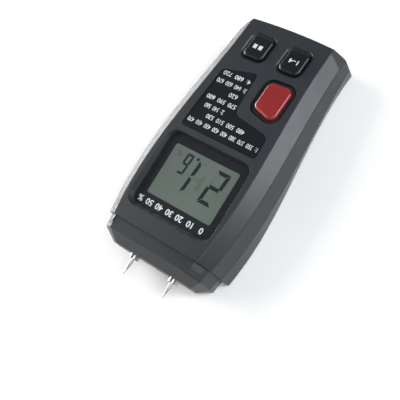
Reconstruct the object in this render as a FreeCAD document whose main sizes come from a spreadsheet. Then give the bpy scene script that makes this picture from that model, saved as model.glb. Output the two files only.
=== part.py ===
import FreeCAD, Part
import math
import os
import Sketcher

# Two-pin moisture meter, lying on its back.
# +X runs across the meter, +Y towards the pins, +Z out of the display face.
# The origin is below the middle of the meter, on the plane that the back rests on.

DIMENSIONS = {
    # outer form, as four cross sections from the handle end to the neck seam
    "tail_at": -66.0,
    "tail_face": 21.76,
    "tail_belt": 27.0,
    "tail_heel": 26.9,
    "tail_top": 19.8,
    "grip_at": -30.0,
    "grip_face": 22.9,
    "grip_belt": 28.9,
    "grip_heel": 27.2,
    "grip_top": 23.3,
    "wide_at": 17.0,
    "wide_face": 25.6,
    "wide_belt": 31.35,
    "wide_heel": 31.7,
    "wide_top": 25.0,
    "seam_at": 44.9,
    "seam_face": 23.4,
    "seam_belt": 28.8,
    "seam_heel": 30.4,
    "seam_top": 24.5,
    "bevel_drop": 5.05,
    "side_flare": 0.5,
    "back_edge": 1.2,
    "back_skim": 0.1,
    "parting": 8.0,
    "parting_gap": 0.25,
    "wall": 2.0,
    "face_share": 0.35,
    "belt_share": 0.4,
    "back_share": 0.6,
    "low_share": 0.3,
    "end_corner_at": -63.4,
    "end_crest_at": -64.85,
    "end_corner_radius": 2.4,
    "end_overhang": 0.35,
    "edge_radius": 0.9,
    "facet_face_at": -60.6,
    "facet_belt_at": -57.0,
    "facet_slope": 0.35,
    "cavity_end_at": -60.8,
    # levels and depths that only have to clear the case
    "over_face": 26.0,
    "cut_depth": 10.0,
    "clear_span": 80.0,
    # bosses for the four case screws
    "tail_boss_x": 21.5,
    "tail_boss_at": -56.5,
    "tail_boss_top": 17.6,
    "neck_boss_x": 23.3,
    "neck_boss_at": 38.0,
    "neck_boss_top": 21.0,
    "boss_radius": 3.0,
    "post_radius": 3.2,
    "boss_hole": 1.1,
    "boss_hole_depth": 7.5,
    "floor_lap": 0.5,
    # neck that carries the two pins
    "neck_inset": 1.2,
    "neck_step": 0.85,
    "neck_shoulder_at": 50.9,
    "neck_end_at": 55.0,
    "neck_end_top": 17.6,
    "neck_end_belt": 13.6,
    "neck_end_face": 18.2,
    "neck_end_half": 22.4,
    "neck_lap": 1.5,
    "neck_flare": 0.3,
    "neck_draw": 0.6,
    "neck_back_inset": 1.3,
    "neck_back_rise": 3.5,
    "neck_back_end": 20.4,
    "nose_radius": 0.9,
    "nose_wall": 1.2,
    "neck_cavity_from": 40.9,
    "neck_cavity_inset": 2.6,
    "snap_pad_width": 4.0,
    "snap_pad_length": 3.4,
    "snap_pad_rise": 0.35,
    "snap_pad_root": 1.6,
    "snap_pad_lap": 0.5,
    # display window
    "display_at": 17.75,
    "display_level": 22.75,
    "display_tilt": -2.45,
    "lens_half_x": 21.6,
    "lens_half_y": 18.05,
    "lens_radius": 4.0,
    "lens_thick": 1.2,
    "lens_edge": 0.25,
    "lens_gap": 0.1,
    "mask_thick": 0.15,
    "film_gap": 0.02,
    "stack_gap": 0.05,
    "recess_rise": 3.2,
    "recess_flare": 1.9,
    "window_half_x": 17.6,
    "window_half_y": 12.6,
    "window_corner": 1.0,
    "window_offset": -1.1,
    "glass_half_x": 19.0,
    "glass_half_y": 14.0,
    "glass_thick": 2.4,
    "glass_corner": 0.3,
    "glass_gap": 0.3,
    "backlight_thick": 1.2,
    "backlight_inset_x": 0.5,
    "backlight_inset_y": 3.2,
    "tray_floor": 19.8,
    "tray_height": 3.9,
    "tray_margin_x": 2.6,
    "tray_margin_y": 2.0,
    "frame_wall_x": 2.1,
    "frame_wall_y": 2.4,
    "contact_half": 16.0,
    "contact_depth": 1.8,
    "contact_inset": 0.4,
    "contact_top": 19.3,
    # printed species panel
    "panel_at": -21.3,
    "panel_level": 23.82,
    "panel_tilt": 3.3,
    "panel_depth": 0.55,
    "panel_film": 0.35,
    "panel_film_inset": 0.15,
    "panel_foot_left": 20.7,
    "panel_foot_right": 20.0,
    "panel_foot_top": 17.6,
    "panel_notch_left": 6.2,
    "panel_notch_right": 3.3,
    "panel_notch_radius": 4.0,
    "panel_arm_left": 1.4,
    "panel_arm_left_end": 18.2,
    "panel_arm_right": 18.6,
    "panel_arm_right_end": 13.8,
    "panel_corner": 1.9,
    # buttons
    "press_travel": 0.5,
    "button_gap": 0.25,
    "cap_bottom": 17.8,
    "cap_stock": 9.0,
    "flange_thick": 0.8,
    "flange_lip": 0.9,
    "small_button_x": 9.6,
    "small_button_at": -50.9,
    "small_button_level": 21.45,
    "small_button_tilt": 5.8,
    "small_button_half_x": 5.4,
    "small_button_half_y": 6.2,
    "small_button_corner": 2.6,
    "small_button_rise": 0.9,
    "small_button_crown": 1.5,
    "dish_depth": 1.0,
    "dish_floor": 0.5,
    "dish_rim": 1.4,
    "power_at": -29.6,
    "power_x": -11.6,
    "power_level": 23.3,
    "power_tilt": 4.0,
    "power_half": 6.2,
    "power_tail_left": 9.2,
    "power_tail_right": 8.6,
    "power_head_left": 8.8,
    "power_head_right": 5.0,
    "power_corner": 3.0,
    "power_depth": 2.0,
    "power_rise": 0.7,
    "power_crown": 1.3,
    "power_dish_floor": 1.6,
    "power_dish_rim": 2.1,
    "power_dish_rise": 0.8,
    "power_tray_half_x": 10.6,
    "power_tray_half_y": 13.0,
    "power_tray_drop": 1.0,
    "power_tray_thick": 2.9,
    "collar_height": 1.1,
    "collar_width": 0.9,
    # pins
    "pin_half_spacing": 11.3,
    "pin_level": 10.0,
    "pin_radius": 0.9,
    "pin_length": 9.85,
    "pin_taper": 5.2,
    "stud_radius": 1.25,
    "stud_length": 6.0,
    "stud_gap": 0.03,
    "stud_end_gap": 0.3,
    "point_radius": 0.05,
    "nut_radius": 2.4,
    "nut_length": 1.9,
    "nut_gap": 0.05,
    "socket_radius": 1.75,
    "socket_length": 10.0,
    "socket_recess": 1.0,
    "socket_gap": 0.05,
    "socket_seat": 8.0,
    "strip_width": 3.0,
    "strip_thick": 0.4,
    "strip_foot": 3.98,
    "strip_drop": 1.0,
    "contact_gap": 0.02,
    "carrier_half": 17.0,
    "carrier_from": 46.0,
    "carrier_depth": 3.6,
    "carrier_half_height": 3.4,
    # battery bay under the handle
    "bay_half_x": 16.4,
    "bay_from": -58.4,
    "bay_to": -6.6,
    "bay_roof": 12.5,
    "bay_wall": 0.8,
    "skirt_height": 2.0,
    "cell_radius": 5.25,
    "cell_length": 43.5,
    "cell_spacing": 11.0,
    "cell_level": 7.05,
    "cell_shift": 2.0,
    "nub_radius": 1.9,
    "nub_length": 1.0,
    "leaf_thick": 0.3,
    "leaf_half": 3.2,
    "leaf_tip": 0.8,
    "leaf_width": 4.4,
    "leaf_reach": 5.5,
    "leaf_gap": 0.05,
    "leaf_fold": 0.75,
    "plate_thick": 0.4,
    "plate_half": 4.2,
    "door_half_x": 17.1,
    "door_thick": 1.0,
    "door_tongue": 0.7,
    "tongue_thick": 0.6,
    "door_to": -5.0,
    "door_gap": 0.2,
    "groove_inset": 5.0,
    "groove_pitch": 2.2,
    "groove_width": 1.0,
    "groove_half": 7.0,
    "groove_step": 0.8,
    "groove_depth": 0.5,
    # circuit board
    "board_level": 13.5,
    "board_thick": 1.4,
    "board_tail_half": 17.0,
    "board_tail_at": -58.0,
    "board_tail_step": -51.6,
    "board_waist_half": 22.0,
    "board_flare_from": -10.0,
    "board_flare_to": -6.0,
    "board_wide_half": 25.0,
    "board_wide_end": 33.2,
    "board_nose_half": 18.4,
    "board_nose_at": 42.0,
    "board_hole": 1.2,
    # switches under the buttons
    "switch_half": 3.0,
    "switch_height": 2.0,
    "switch_floor": 0.6,
    "plunger_radius": 1.6,
    "plunger_gap": 0.1,
    # parts soldered to the board
    "chip_x": 8.0,
    "chip_at": -9.4,
    "chip_width": 9.0,
    "chip_depth": 7.0,
    "chip_height": 1.5,
    "amplifier_x": -14.0,
    "amplifier_at": 33.9,
    "amplifier_width": 6.0,
    "amplifier_depth": 5.0,
    "amplifier_height": 1.4,
    "crystal_x": 4.0,
    "crystal_at": -40.0,
    "crystal_radius": 1.1,
    "crystal_length": 6.0,
    "small_chip_width": 1.3,
    "small_chip_depth": 2.2,
    "resistor_x": 6.0,
    "resistor_at": -22.0,
    "resistor_pitch": 2.6,
    "resistor_height": 0.6,
    "capacitor_x": 5.0,
    "capacitor_at": -30.0,
    "capacitor_pitch": 2.2,
    "capacitor_height": 1.0,
    # screws
    "case_screw_seat": 2.6,
    "case_screw_head": 2.2,
    "case_screw_head_height": 1.8,
    "case_screw_radius": 1.05,
    "case_screw_length": 9.0,
    "case_screw_way": 1.4,
    "board_screw_tail_x": 19.6,
    "board_screw_tail_at": -47.6,
    "board_screw_neck_x": 23.2,
    "board_screw_neck_at": 30.4,
    "board_screw_head": 1.7,
    "board_screw_head_height": 1.0,
    "board_screw_radius": 1.0,
    "board_screw_length": 2.6,
    "slot_reach": 0.65,
    "slot_half": 0.3,
    "slot_depth": 0.7,
    "seat_gap": 0.2,
}

doc = FreeCAD.newDocument("moisture_meter")


def make_sheet():
    """Put every driving dimension in the spreadsheet under its own alias."""
    made = doc.addObject("Spreadsheet::Sheet", "Size")
    for row, (name, number) in enumerate(DIMENSIONS.items(), start=1):
        made.set(f"A{row}", name)
        made.set(f"B{row}", str(number))
        made.setAlias(f"B{row}", name)
    doc.recompute()
    return made


sheet = make_sheet()
sub_parts = []
TOUCHING = 0.01


def number_of(expression):
    """The value of an expression such as 'Size.wall * 2'."""
    return float(sheet.evalExpression(str(expression)))


def keep(item, label):
    """Give a finished sub-part its label and mark it for export."""
    item.Label = label
    sub_parts.append(item)
    return item


# ---------------------------------------------------------------- sketches

def new_body(name):
    return doc.addObject("PartDesign::Body", name)


def origin_plane(body, role):
    return [plane for plane in body.Origin.OriginFeatures if plane.Role == role][0]


def new_sketch(body, name, role, lift=0):
    """A sketch parallel to one of the body's origin planes, lift along the plane's normal."""
    sketch = body.newObject("Sketcher::SketchObject", name)
    sketch.AttachmentSupport = [(origin_plane(body, role), "")]
    sketch.MapMode = "FlatFace"
    sketch.AttachmentOffset = FreeCAD.Placement(FreeCAD.Vector(0, 0, number_of(lift)), FreeCAD.Rotation())
    sketch.setExpression("AttachmentOffset.Base.z", str(lift))
    return sketch


def tilted_sketch(body, name, at, level, tilt, lift=0):
    """A sketch on a plane through (0, at, level), turned about X by tilt and raised by lift."""
    sketch = body.newObject("Sketcher::SketchObject", name)
    sketch.AttachmentSupport = [(origin_plane(body, "XY_Plane"), "")]
    sketch.MapMode = "FlatFace"
    sketch.AttachmentOffset = tilted_place(at, level, tilt, lift)
    return sketch


def tilted_place(at, level, tilt, lift=0):
    turn = FreeCAD.Rotation(FreeCAD.Vector(1, 0, 0), number_of(tilt))
    base = FreeCAD.Vector(0, number_of(at), number_of(level))
    return FreeCAD.Placement(base + turn.multVec(FreeCAD.Vector(0, 0, number_of(lift))), turn)


def fix_point(sketch, geometry, position, x, y):
    """Tie a point of the sketch to its two expressions."""
    for direction, expression in (("DistanceX", x), ("DistanceY", y)):
        index = sketch.addConstraint(
            Sketcher.Constraint(direction, -1, 1, geometry, position, number_of(expression)))
        sketch.setExpression(f"Constraints[{index}]", str(expression))


def polygon(sketch, corners):
    """A closed outline of straight lines; each corner is a pair of expressions."""
    points = [FreeCAD.Vector(number_of(x), number_of(y), 0) for x, y in corners]
    count = len(points)
    for index in range(count):
        sketch.addGeometry(Part.LineSegment(points[index], points[(index + 1) % count]), False)
    for index in range(count):
        sketch.addConstraint(Sketcher.Constraint("Coincident", index, 2, (index + 1) % count, 1))
        fix_point(sketch, index, 1, corners[index][0], corners[index][1])
    return sketch


def rounded(sketch, corners):
    """A closed outline with rounded corners; each corner is x, y and radius as expressions."""
    points = [FreeCAD.Vector(number_of(x), number_of(y), 0) for x, y, radius in corners]
    radii = [number_of(radius) for x, y, radius in corners]
    count = len(points)
    arcs = []
    ends = []
    for index in range(count):
        corner = points[index]
        back = (points[index - 1] - corner).normalize()
        ahead = (points[(index + 1) % count] - corner).normalize()
        half_turn = back.getAngle(ahead) / 2
        start = corner + back * (radii[index] / math.tan(half_turn))
        finish = corner + ahead * (radii[index] / math.tan(half_turn))
        middle = corner + (back + ahead).normalize() * (radii[index] / math.sin(half_turn))
        left_turn = (back.cross(ahead)).z < 0
        first, last = (start, finish) if left_turn else (finish, start)
        circle = Part.Circle(middle, FreeCAD.Vector(0, 0, 1), radii[index])
        angles = [math.atan2((point - middle).y, (point - middle).x) for point in (first, last)]
        arcs.append(sketch.addGeometry(Part.ArcOfCircle(circle, angles[0], angles[1]), False))
        ends.append((start, finish, (1, 2) if left_turn else (2, 1)))
    for index in range(count):
        following = (index + 1) % count
        line = sketch.addGeometry(Part.LineSegment(ends[index][1], ends[following][0]), False)
        sketch.addConstraint(Sketcher.Constraint("Tangent", arcs[index], ends[index][2][1], line, 1))
        sketch.addConstraint(Sketcher.Constraint("Tangent", line, 2, arcs[following], ends[following][2][0]))
    for index, (x, y, radius) in enumerate(corners):
        mark = sketch.addGeometry(Part.Point(points[index]), True)
        fix_point(sketch, mark, 1, x, y)
        before = count + (index - 1) % count
        sketch.addConstraint(Sketcher.Constraint("PointOnObject", mark, 1, before))
        sketch.addConstraint(Sketcher.Constraint("PointOnObject", mark, 1, count + index))
        size = sketch.addConstraint(Sketcher.Constraint("Radius", arcs[index], radii[index]))
        sketch.setExpression(f"Constraints[{size}]", str(radius))
    return sketch


def rounded_rectangle(sketch, middle_x, middle_y, half_x, half_y, radius):
    """A rectangle with rounded corners about a middle point."""
    sides = [(-1, -1), (1, -1), (1, 1), (-1, 1)]
    return rounded(sketch, [(f"({middle_x}) + ({side_x}) * ({half_x})",
                             f"({middle_y}) + ({side_y}) * ({half_y})", radius)
                            for side_x, side_y in sides])


def rectangle(sketch, left, right, bottom, top):
    return polygon(sketch, [(left, bottom), (right, bottom), (right, top), (left, top)])


def circles(sketch, centres, radius):
    """Circles of one radius at each centre."""
    for x, y in centres:
        centre = FreeCAD.Vector(number_of(x), number_of(y), 0)
        circle = Part.Circle(centre, FreeCAD.Vector(0, 0, 1), number_of(radius))
        index = sketch.addGeometry(circle, False)
        fix_point(sketch, index, 3, x, y)
        size = sketch.addConstraint(Sketcher.Constraint("Radius", index, number_of(radius)))
        sketch.setExpression(f"Constraints[{size}]", str(radius))
    return sketch


# ---------------------------------------------------------------- features

def finish_feature(body, feature, adds):
    """Make the feature the body's tip, and stop unless it changed the volume the right way."""
    before = feature.BaseFeature.Shape.Volume if feature.BaseFeature else 0
    body.Tip = feature
    doc.recompute()
    shape = feature.Shape
    grown = shape.Volume - before
    if not shape.isValid() or not shape.Solids or (grown <= 0 if adds else grown >= 0):
        raise RuntimeError(f"{body.Name}: {feature.Name} left a wrong solid, volume change {grown:.2f}")
    return feature


def extrude(body, kind, name, sketch, length, upwards):
    """A Pad or Pocket of one sketch; upwards means along the sketch's normal."""
    feature = body.newObject(f"PartDesign::{kind}", name)
    feature.Profile = sketch
    feature.Length = number_of(length)
    feature.setExpression("Length", str(length))
    feature.Reversed = upwards == (kind == "Pocket")
    return finish_feature(body, feature, kind == "Pad")


def pad(body, name, sketch, length, upwards=True):
    return extrude(body, "Pad", name, sketch, length, upwards)


def pocket(body, name, sketch, length, upwards=False):
    return extrude(body, "Pocket", name, sketch, length, upwards)


def loft(body, kind, name, sketches, ruled=False):
    """An AdditiveLoft or SubtractiveLoft through a row of sketches."""
    feature = body.newObject(f"PartDesign::{kind}", name)
    feature.Profile = sketches[0]
    feature.Sections = sketches[1:]
    feature.Ruled = ruled
    return finish_feature(body, feature, kind == "AdditiveLoft")


def edges_where(shape, wanted):
    """Names of the edges whose middle point and direction pass the test."""
    names = []
    for index, edge in enumerate(shape.Edges, start=1):
        middle = edge.valueAt((edge.FirstParameter + edge.LastParameter) / 2)
        along = edge.tangentAt((edge.FirstParameter + edge.LastParameter) / 2)
        if wanted(middle, along, edge):
            names.append(f"Edge{index}")
    return names


def round_edges(body, name, radius, wanted):
    """A PartDesign Fillet on every edge of the body that passes the test."""
    base = body.Tip
    feature = body.newObject("PartDesign::Fillet", name)
    feature.Base = (base, edges_where(base.Shape, wanted))
    feature.Radius = number_of(radius)
    feature.setExpression("Radius", str(radius))
    return finish_feature(body, feature, False)


# ---------------------------------------------------------------- plain solids

def place_item(item, x, y, z, turn=None):
    """Bind an item's position to three expressions."""
    item.Placement = FreeCAD.Placement(
        FreeCAD.Vector(number_of(x), number_of(y), number_of(z)), turn or FreeCAD.Rotation())
    for letter, expression in zip("xyz", (x, y, z)):
        item.setExpression(f"Placement.Base.{letter}", str(expression))
    return item


def block(name, low, size):
    """A box from its low corner and its three sizes, all expressions."""
    item = doc.addObject("Part::Box", name)
    for side, expression in zip(("Length", "Width", "Height"), size):
        item.setExpression(side, str(expression))
    return place_item(item, *low)


AXIS_TURNS = {
    "x": FreeCAD.Rotation(FreeCAD.Vector(0, 1, 0), 90),
    "y": FreeCAD.Rotation(FreeCAD.Vector(1, 0, 0), -90),
    "z": FreeCAD.Rotation(),
}


def rod(name, start, axis, radius, length):
    """A cylinder from its start point along an axis."""
    item = doc.addObject("Part::Cylinder", name)
    item.setExpression("Radius", str(radius))
    item.setExpression("Height", str(length))
    return place_item(item, *start, AXIS_TURNS[axis])


def taper(name, start, axis, radius, end_radius, length):
    """A cone from its start point along an axis."""
    item = doc.addObject("Part::Cone", name)
    item.setExpression("Radius1", str(radius))
    item.setExpression("Radius2", str(end_radius))
    item.setExpression("Height", str(length))
    return place_item(item, *start, AXIS_TURNS[axis])


def fused(name, items):
    item = doc.addObject("Part::MultiFuse", name)
    item.Shapes = items
    item.Refine = True
    return item


def cut(name, base, tool):
    item = doc.addObject("Part::Cut", name)
    item.Base = base
    item.Tool = tool
    return item


def group(name, items):
    """Separate solids that share one node."""
    item = doc.addObject("Part::Compound", name)
    item.Links = items
    return item


# ---------------------------------------------------------------- outer form of the case

STATIONS = ("tail", "grip", "wide", "seam")


def front_corners(station, inset):
    """Corners of the front half's cross section, moved inwards by inset."""
    face = f"Size.{station}_face - Size.face_share * ({inset})"
    belt = f"Size.{station}_belt - ({inset})"
    foot = f"Size.{station}_belt + Size.side_flare - ({inset})"
    top = f"Size.{station}_top - ({inset})"
    belt_level = f"Size.{station}_top - Size.bevel_drop - Size.belt_share * ({inset})"
    return [(f"-({foot})", "Size.parting"), (foot, "Size.parting"), (belt, belt_level),
            (face, top), (f"-({face})", top), (f"-({belt})", belt_level)]


def rear_corners(station, inset):
    """Corners of the rear half's cross section, from the back plane to the parting plane."""
    foot = f"Size.{station}_belt + Size.side_flare - ({inset})"
    low = f"Size.{station}_heel - ({inset})"
    back = f"Size.{station}_heel - Size.back_edge - Size.back_share * ({inset})"
    low_level = f"Size.back_edge + Size.low_share * ({inset})"
    top_level = "Size.parting - Size.parting_gap"
    back_level = f"({inset}) - Size.back_skim"
    return [(f"-({back})", back_level), (back, back_level), (low, low_level),
            (foot, top_level), (f"-({foot})", top_level), (f"-({low})", low_level)]


def section_row(body, corners_of, tag, inset):
    """One cross-section sketch at each station, from the handle end to the neck."""
    sketches = []
    for station in STATIONS:
        sketch = new_sketch(body, f"{tag}_{station}", "XZ_Plane", f"-Size.{station}_at")
        sketches.append(polygon(sketch, corners_of(station, inset)))
    return sketches


def half_form(body, corners_of, tag):
    """The outer loft of one half of the case."""
    return loft(body, "AdditiveLoft", f"{tag}_form", section_row(body, corners_of, f"{tag}_section", "0"))


def half_cavity(body, corners_of, tag):
    """The hollow of one half, with the handle end filled again by its closing wall."""
    loft(body, "SubtractiveLoft", f"{tag}_hollow", section_row(body, corners_of, f"{tag}_hollow", "Size.wall"))
    wall = new_sketch(body, f"{tag}_end_wall_outline", "XZ_Plane", "-Size.cavity_end_at")
    polygon(wall, corners_of("tail", "Size.wall / 2"))
    pad(body, f"{tag}_end_wall", wall, "Size.cavity_end_at - Size.tail_at")
    trim_end(body, f"{tag}_wall")


def trim_end(body, tag):
    """Cut the handle end to its gentle arc with rounded corners."""
    sketch = new_sketch(body, f"{tag}_end_outline", "XY_Plane")
    side = number_of("Size.tail_belt + Size.side_flare + Size.end_overhang")
    corner = FreeCAD.Vector(side, number_of("Size.end_corner_at"), 0)
    crest = FreeCAD.Vector(0, number_of("Size.end_crest_at"), 0)
    radius = number_of("Size.end_corner_radius")
    bow_radius = Part.Arc(mirrored(corner), crest, corner).toShape().Curve.Radius
    bow_middle = crest + FreeCAD.Vector(0, bow_radius, 0)
    # the corner circle touches the side line from inside and the bow from inside
    centre_x = side - radius
    centre_y = bow_middle.y - math.sqrt((bow_radius - radius) ** 2 - centre_x ** 2)
    centre = FreeCAD.Vector(centre_x, centre_y, 0)
    outwards = (centre - bow_middle).normalize()
    touch = bow_middle + outwards * bow_radius
    arc_middle = centre + (FreeCAD.Vector(1, 0, 0) + outwards).normalize() * radius
    arc_end = centre + FreeCAD.Vector(radius, 0, 0)
    inner = FreeCAD.Vector(number_of("Size.clear_span / 2"), arc_end.y, 0)
    outer = FreeCAD.Vector(inner.x, number_of("Size.tail_at") - radius, 0)
    edges = [
        Part.Arc(mirrored(arc_end), mirrored(arc_middle), mirrored(touch)),
        Part.Arc(mirrored(touch), crest, touch),
        Part.Arc(touch, arc_middle, arc_end),
        Part.LineSegment(arc_end, inner),
        Part.LineSegment(inner, outer),
        Part.LineSegment(outer, mirrored(outer)),
        Part.LineSegment(mirrored(outer), mirrored(inner)),
        Part.LineSegment(mirrored(inner), mirrored(arc_end)),
    ]
    for edge in edges:
        index = sketch.addGeometry(edge, False)
        sketch.addConstraint(Sketcher.Constraint("Block", index))
    return pocket(body, f"{tag}_end_cut", sketch, "Size.clear_span / 2", upwards=True)


def mirrored(point):
    """The same point on the other side of the middle plane."""
    return FreeCAD.Vector(-point.x, point.y, 0)


def both_sides(x, y):
    """A pair of points, right and left of the middle plane."""
    return [(x, y), (f"-({x})", y)]


TAIL_BOSSES = both_sides("Size.tail_boss_x", "Size.tail_boss_at")
NECK_BOSSES = both_sides("Size.neck_boss_x", "Size.neck_boss_at")
BOSSES = TAIL_BOSSES + NECK_BOSSES


def front_case():
    body = new_body("FrontCase")
    half_form(body, front_corners, "front")
    trim_end(body, "front")
    round_long_edges(body)
    corner_facets(body)
    half_cavity(body, front_corners, "front")
    neck_front(body)
    snap_pads(body)
    inner_trays(body)
    display_openings(body)
    panel_recess(body)
    power_opening(body)
    small_openings(body)
    for name, points in (("tail", TAIL_BOSSES), ("neck", NECK_BOSSES)):
        for side, point in zip(("right", "left"), points):
            sketch = new_sketch(body, f"{name}_{side}_boss", "XY_Plane", "Size.parting")
            circles(sketch, [point], "Size.boss_radius")
            pad(body, f"{name}_{side}_boss_pad", sketch, f"Size.{name}_boss_top - Size.parting")
    holes = circles(new_sketch(body, "boss_holes", "XY_Plane", "Size.parting"), BOSSES, "Size.boss_hole")
    pocket(body, "boss_hole_cut", holes, "Size.boss_hole_depth", upwards=True)
    return keep(body, "front_case")


def round_long_edges(body):
    """Soften the long edges beside the bevels and the edge round the handle end."""
    form_length = number_of("Size.seam_at - Size.tail_at")
    above = number_of("Size.parting + Size.wall")
    end_zone = number_of("Size.end_corner_at + Size.end_corner_radius + 1")

    def outer_edge(middle, along, edge):
        long_edge = edge.Length > form_length / 2
        end_rim = middle.y < end_zone and abs(along.z) < 0.9
        return middle.z > above and (long_edge or end_rim)

    round_edges(body, "edge_rounding", "Size.edge_radius", outer_edge)


def near_tail(key, at):
    """A size of the front half's section at one place between the tail and grip stations."""
    share = f"(({at}) - Size.tail_at) / (Size.grip_at - Size.tail_at)"
    return number_of(f"Size.tail_{key} + (Size.grip_{key} - Size.tail_{key}) * {share}")


def corner_facets(body):
    """Slope off the two handle-end corners of the face, so each bevel stops short of the end."""
    at = number_of("Size.facet_face_at")
    belt_at = number_of("Size.facet_belt_at")
    for tag, side in (("right", 1), ("left", -1)):
        start = FreeCAD.Vector(side * near_tail("face", at), at, near_tail("top", at))
        belt_level = near_tail("top", belt_at) - number_of("Size.bevel_drop")
        across = FreeCAD.Vector(side * near_tail("belt", belt_at), belt_at, belt_level) - start
        downhill = FreeCAD.Vector(0, -1, -number_of("Size.facet_slope"))
        outwards = downhill.cross(across) * side
        turn = FreeCAD.Rotation(FreeCAD.Vector(0, 0, 1), outwards)
        sketch = new_sketch(body, f"{tag}_facet_outline", "XY_Plane")
        sketch.clearExpression("AttachmentOffset.Base.z")
        sketch.AttachmentOffset = FreeCAD.Placement(start, turn)
        rectangle(sketch, "-Size.cut_depth", "Size.cut_depth", "-Size.cut_depth", "Size.cut_depth")
        pocket(body, f"{tag}_facet_cut", sketch, "Size.cut_depth", upwards=True)


NECK_TOP = "(Size.seam_top - Size.neck_step)"


def neck_belt(grow):
    return f"(Size.seam_belt - Size.neck_inset + ({grow}))"


def neck_face(grow):
    return f"(Size.seam_face - Size.neck_inset + ({grow}))"


def neck_section(body, name, at, belt, face, top, belt_level):
    """One cross section of the nose's front half, a little wider at its foot."""
    foot = f"{belt} + Size.neck_flare"
    corners = [(f"-({foot})", "Size.parting"), (foot, "Size.parting"), (belt, belt_level),
               (face, top), (f"-({face})", top), (f"-({belt})", belt_level)]
    return polygon(new_sketch(body, f"neck_{name}", "XZ_Plane", f"-({at})"), corners)


def neck_front(body):
    """The stepped-in nose that carries the pins, with its sloped front."""
    shoulder = (neck_belt("-Size.neck_draw"), neck_face("-Size.neck_draw"), NECK_TOP,
                f"{NECK_TOP} - Size.bevel_drop")
    root = neck_section(body, "root", "Size.seam_at - Size.neck_lap", neck_belt("Size.neck_flare"),
                        neck_face("Size.neck_flare"), NECK_TOP, f"{NECK_TOP} - Size.bevel_drop")
    front = neck_section(body, "shoulder", "Size.neck_shoulder_at", *shoulder)
    loft(body, "AdditiveLoft", "neck_form", [root, front], ruled=True)
    behind = neck_section(body, "nose_root", "Size.neck_shoulder_at", *shoulder)
    tip = neck_section(body, "tip", "Size.neck_end_at", "(Size.neck_end_half - Size.neck_flare)",
                       "Size.neck_end_face", "Size.neck_end_top", "Size.neck_end_belt")
    loft(body, "AdditiveLoft", "nose_form", [behind, tip], ruled=True)
    soften_nose(body)
    neck_cavity(body)
    pin_ways(body)


def soften_nose(body):
    """Round the sloped front's edges where they stand above the parting plane."""
    behind = number_of("Size.neck_shoulder_at") - TOUCHING
    above = number_of("Size.parting") + TOUCHING

    def nose_edge(middle, along, edge):
        return middle.y > behind and middle.z > above and abs(along.x) < 0.99

    round_edges(body, "nose_rounding", "Size.nose_radius", nose_edge)


def neck_cavity(body):
    hollow = new_sketch(body, "neck_hollow_outline", "XZ_Plane", "-Size.neck_cavity_from")
    side = neck_belt("-Size.neck_cavity_inset")
    face = neck_face("-Size.wall")
    corner_level = f"{NECK_TOP} - Size.bevel_drop - Size.nose_wall"
    polygon(hollow, [(f"-{side}", "Size.parting"), (side, "Size.parting"), (side, corner_level),
                     (face, f"{NECK_TOP} - Size.wall"), (f"-{face}", f"{NECK_TOP} - Size.wall"),
                     (f"-{side}", corner_level)])
    pocket(body, "neck_hollow", hollow, "Size.neck_shoulder_at - Size.nose_wall - Size.neck_cavity_from",
           upwards=False)


def pin_ways(body):
    """Seats for the sockets inside the nose, and the smaller holes that the studs pass through."""
    centres = both_sides("Size.pin_half_spacing", "Size.pin_level")
    seats = circles(new_sketch(body, "socket_ways", "XZ_Plane", "Size.socket_recess - Size.neck_end_at"), centres,
                    "Size.socket_radius + Size.socket_gap")
    pocket(body, "socket_way_cut", seats, "Size.socket_seat", upwards=True)
    holes = circles(new_sketch(body, "stud_ways", "XZ_Plane", "2 * Size.socket_recess - Size.neck_end_at"),
                    centres, "Size.stud_radius + Size.socket_gap")
    pocket(body, "stud_way_cut", holes, "Size.cut_depth", upwards=False)


def snap_pads(body):
    """A small raised pad on each neck bevel, which a pin cap would snap over."""
    slope = "Size.bevel_drop / (Size.seam_belt - Size.seam_face)"
    drop = f"Size.snap_pad_width * {slope}"
    for tag, side in (("left", -1), ("right", 1)):
        outline = new_sketch(body, f"{tag}_snap_pad_outline", "XZ_Plane", "Size.snap_pad_lap - Size.seam_at")
        inner = f"({side}) * {neck_face('0')}"
        outer = f"({side}) * {neck_face('Size.snap_pad_width')}"
        polygon(outline, [(inner, f"{NECK_TOP} + Size.snap_pad_rise"),
                          (outer, f"{NECK_TOP} + Size.snap_pad_rise - {drop}"),
                          (outer, f"{NECK_TOP} - Size.snap_pad_root - {drop}"),
                          (inner, f"{NECK_TOP} - Size.snap_pad_root")])
        pad(body, f"{tag}_snap_pad", outline, "Size.snap_pad_length + Size.snap_pad_lap", upwards=False)


DISPLAY_PLACE = ("Size.display_at", "Size.display_level", "Size.display_tilt")
PANEL_PLACE = ("Size.panel_at", "Size.panel_level", "Size.panel_tilt")
POWER_PLACE = ("Size.power_at", "Size.power_level", "Size.power_tilt")
SMALL_PLACE = ("Size.small_button_at", "Size.small_button_level", "Size.small_button_tilt")


def inner_trays(body):
    """Thicken the face from inside where the display and the power button sink into it."""
    display = new_sketch(body, "display_tray_outline", "XY_Plane", "Size.tray_floor")
    rounded_rectangle(display, 0, "Size.display_at", "Size.lens_half_x + Size.tray_margin_x",
                      "Size.lens_half_y + Size.tray_margin_y", "Size.wall")
    pad(body, "display_tray", display, "Size.tray_height")
    power = tilted_sketch(body, "power_tray_outline", *POWER_PLACE, "-Size.power_tray_drop")
    rounded_rectangle(power, "Size.power_x", 0, "Size.power_tray_half_x", "Size.power_tray_half_y", "Size.wall")
    pad(body, "power_tray", power, "Size.power_tray_thick", upwards=False)


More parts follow.
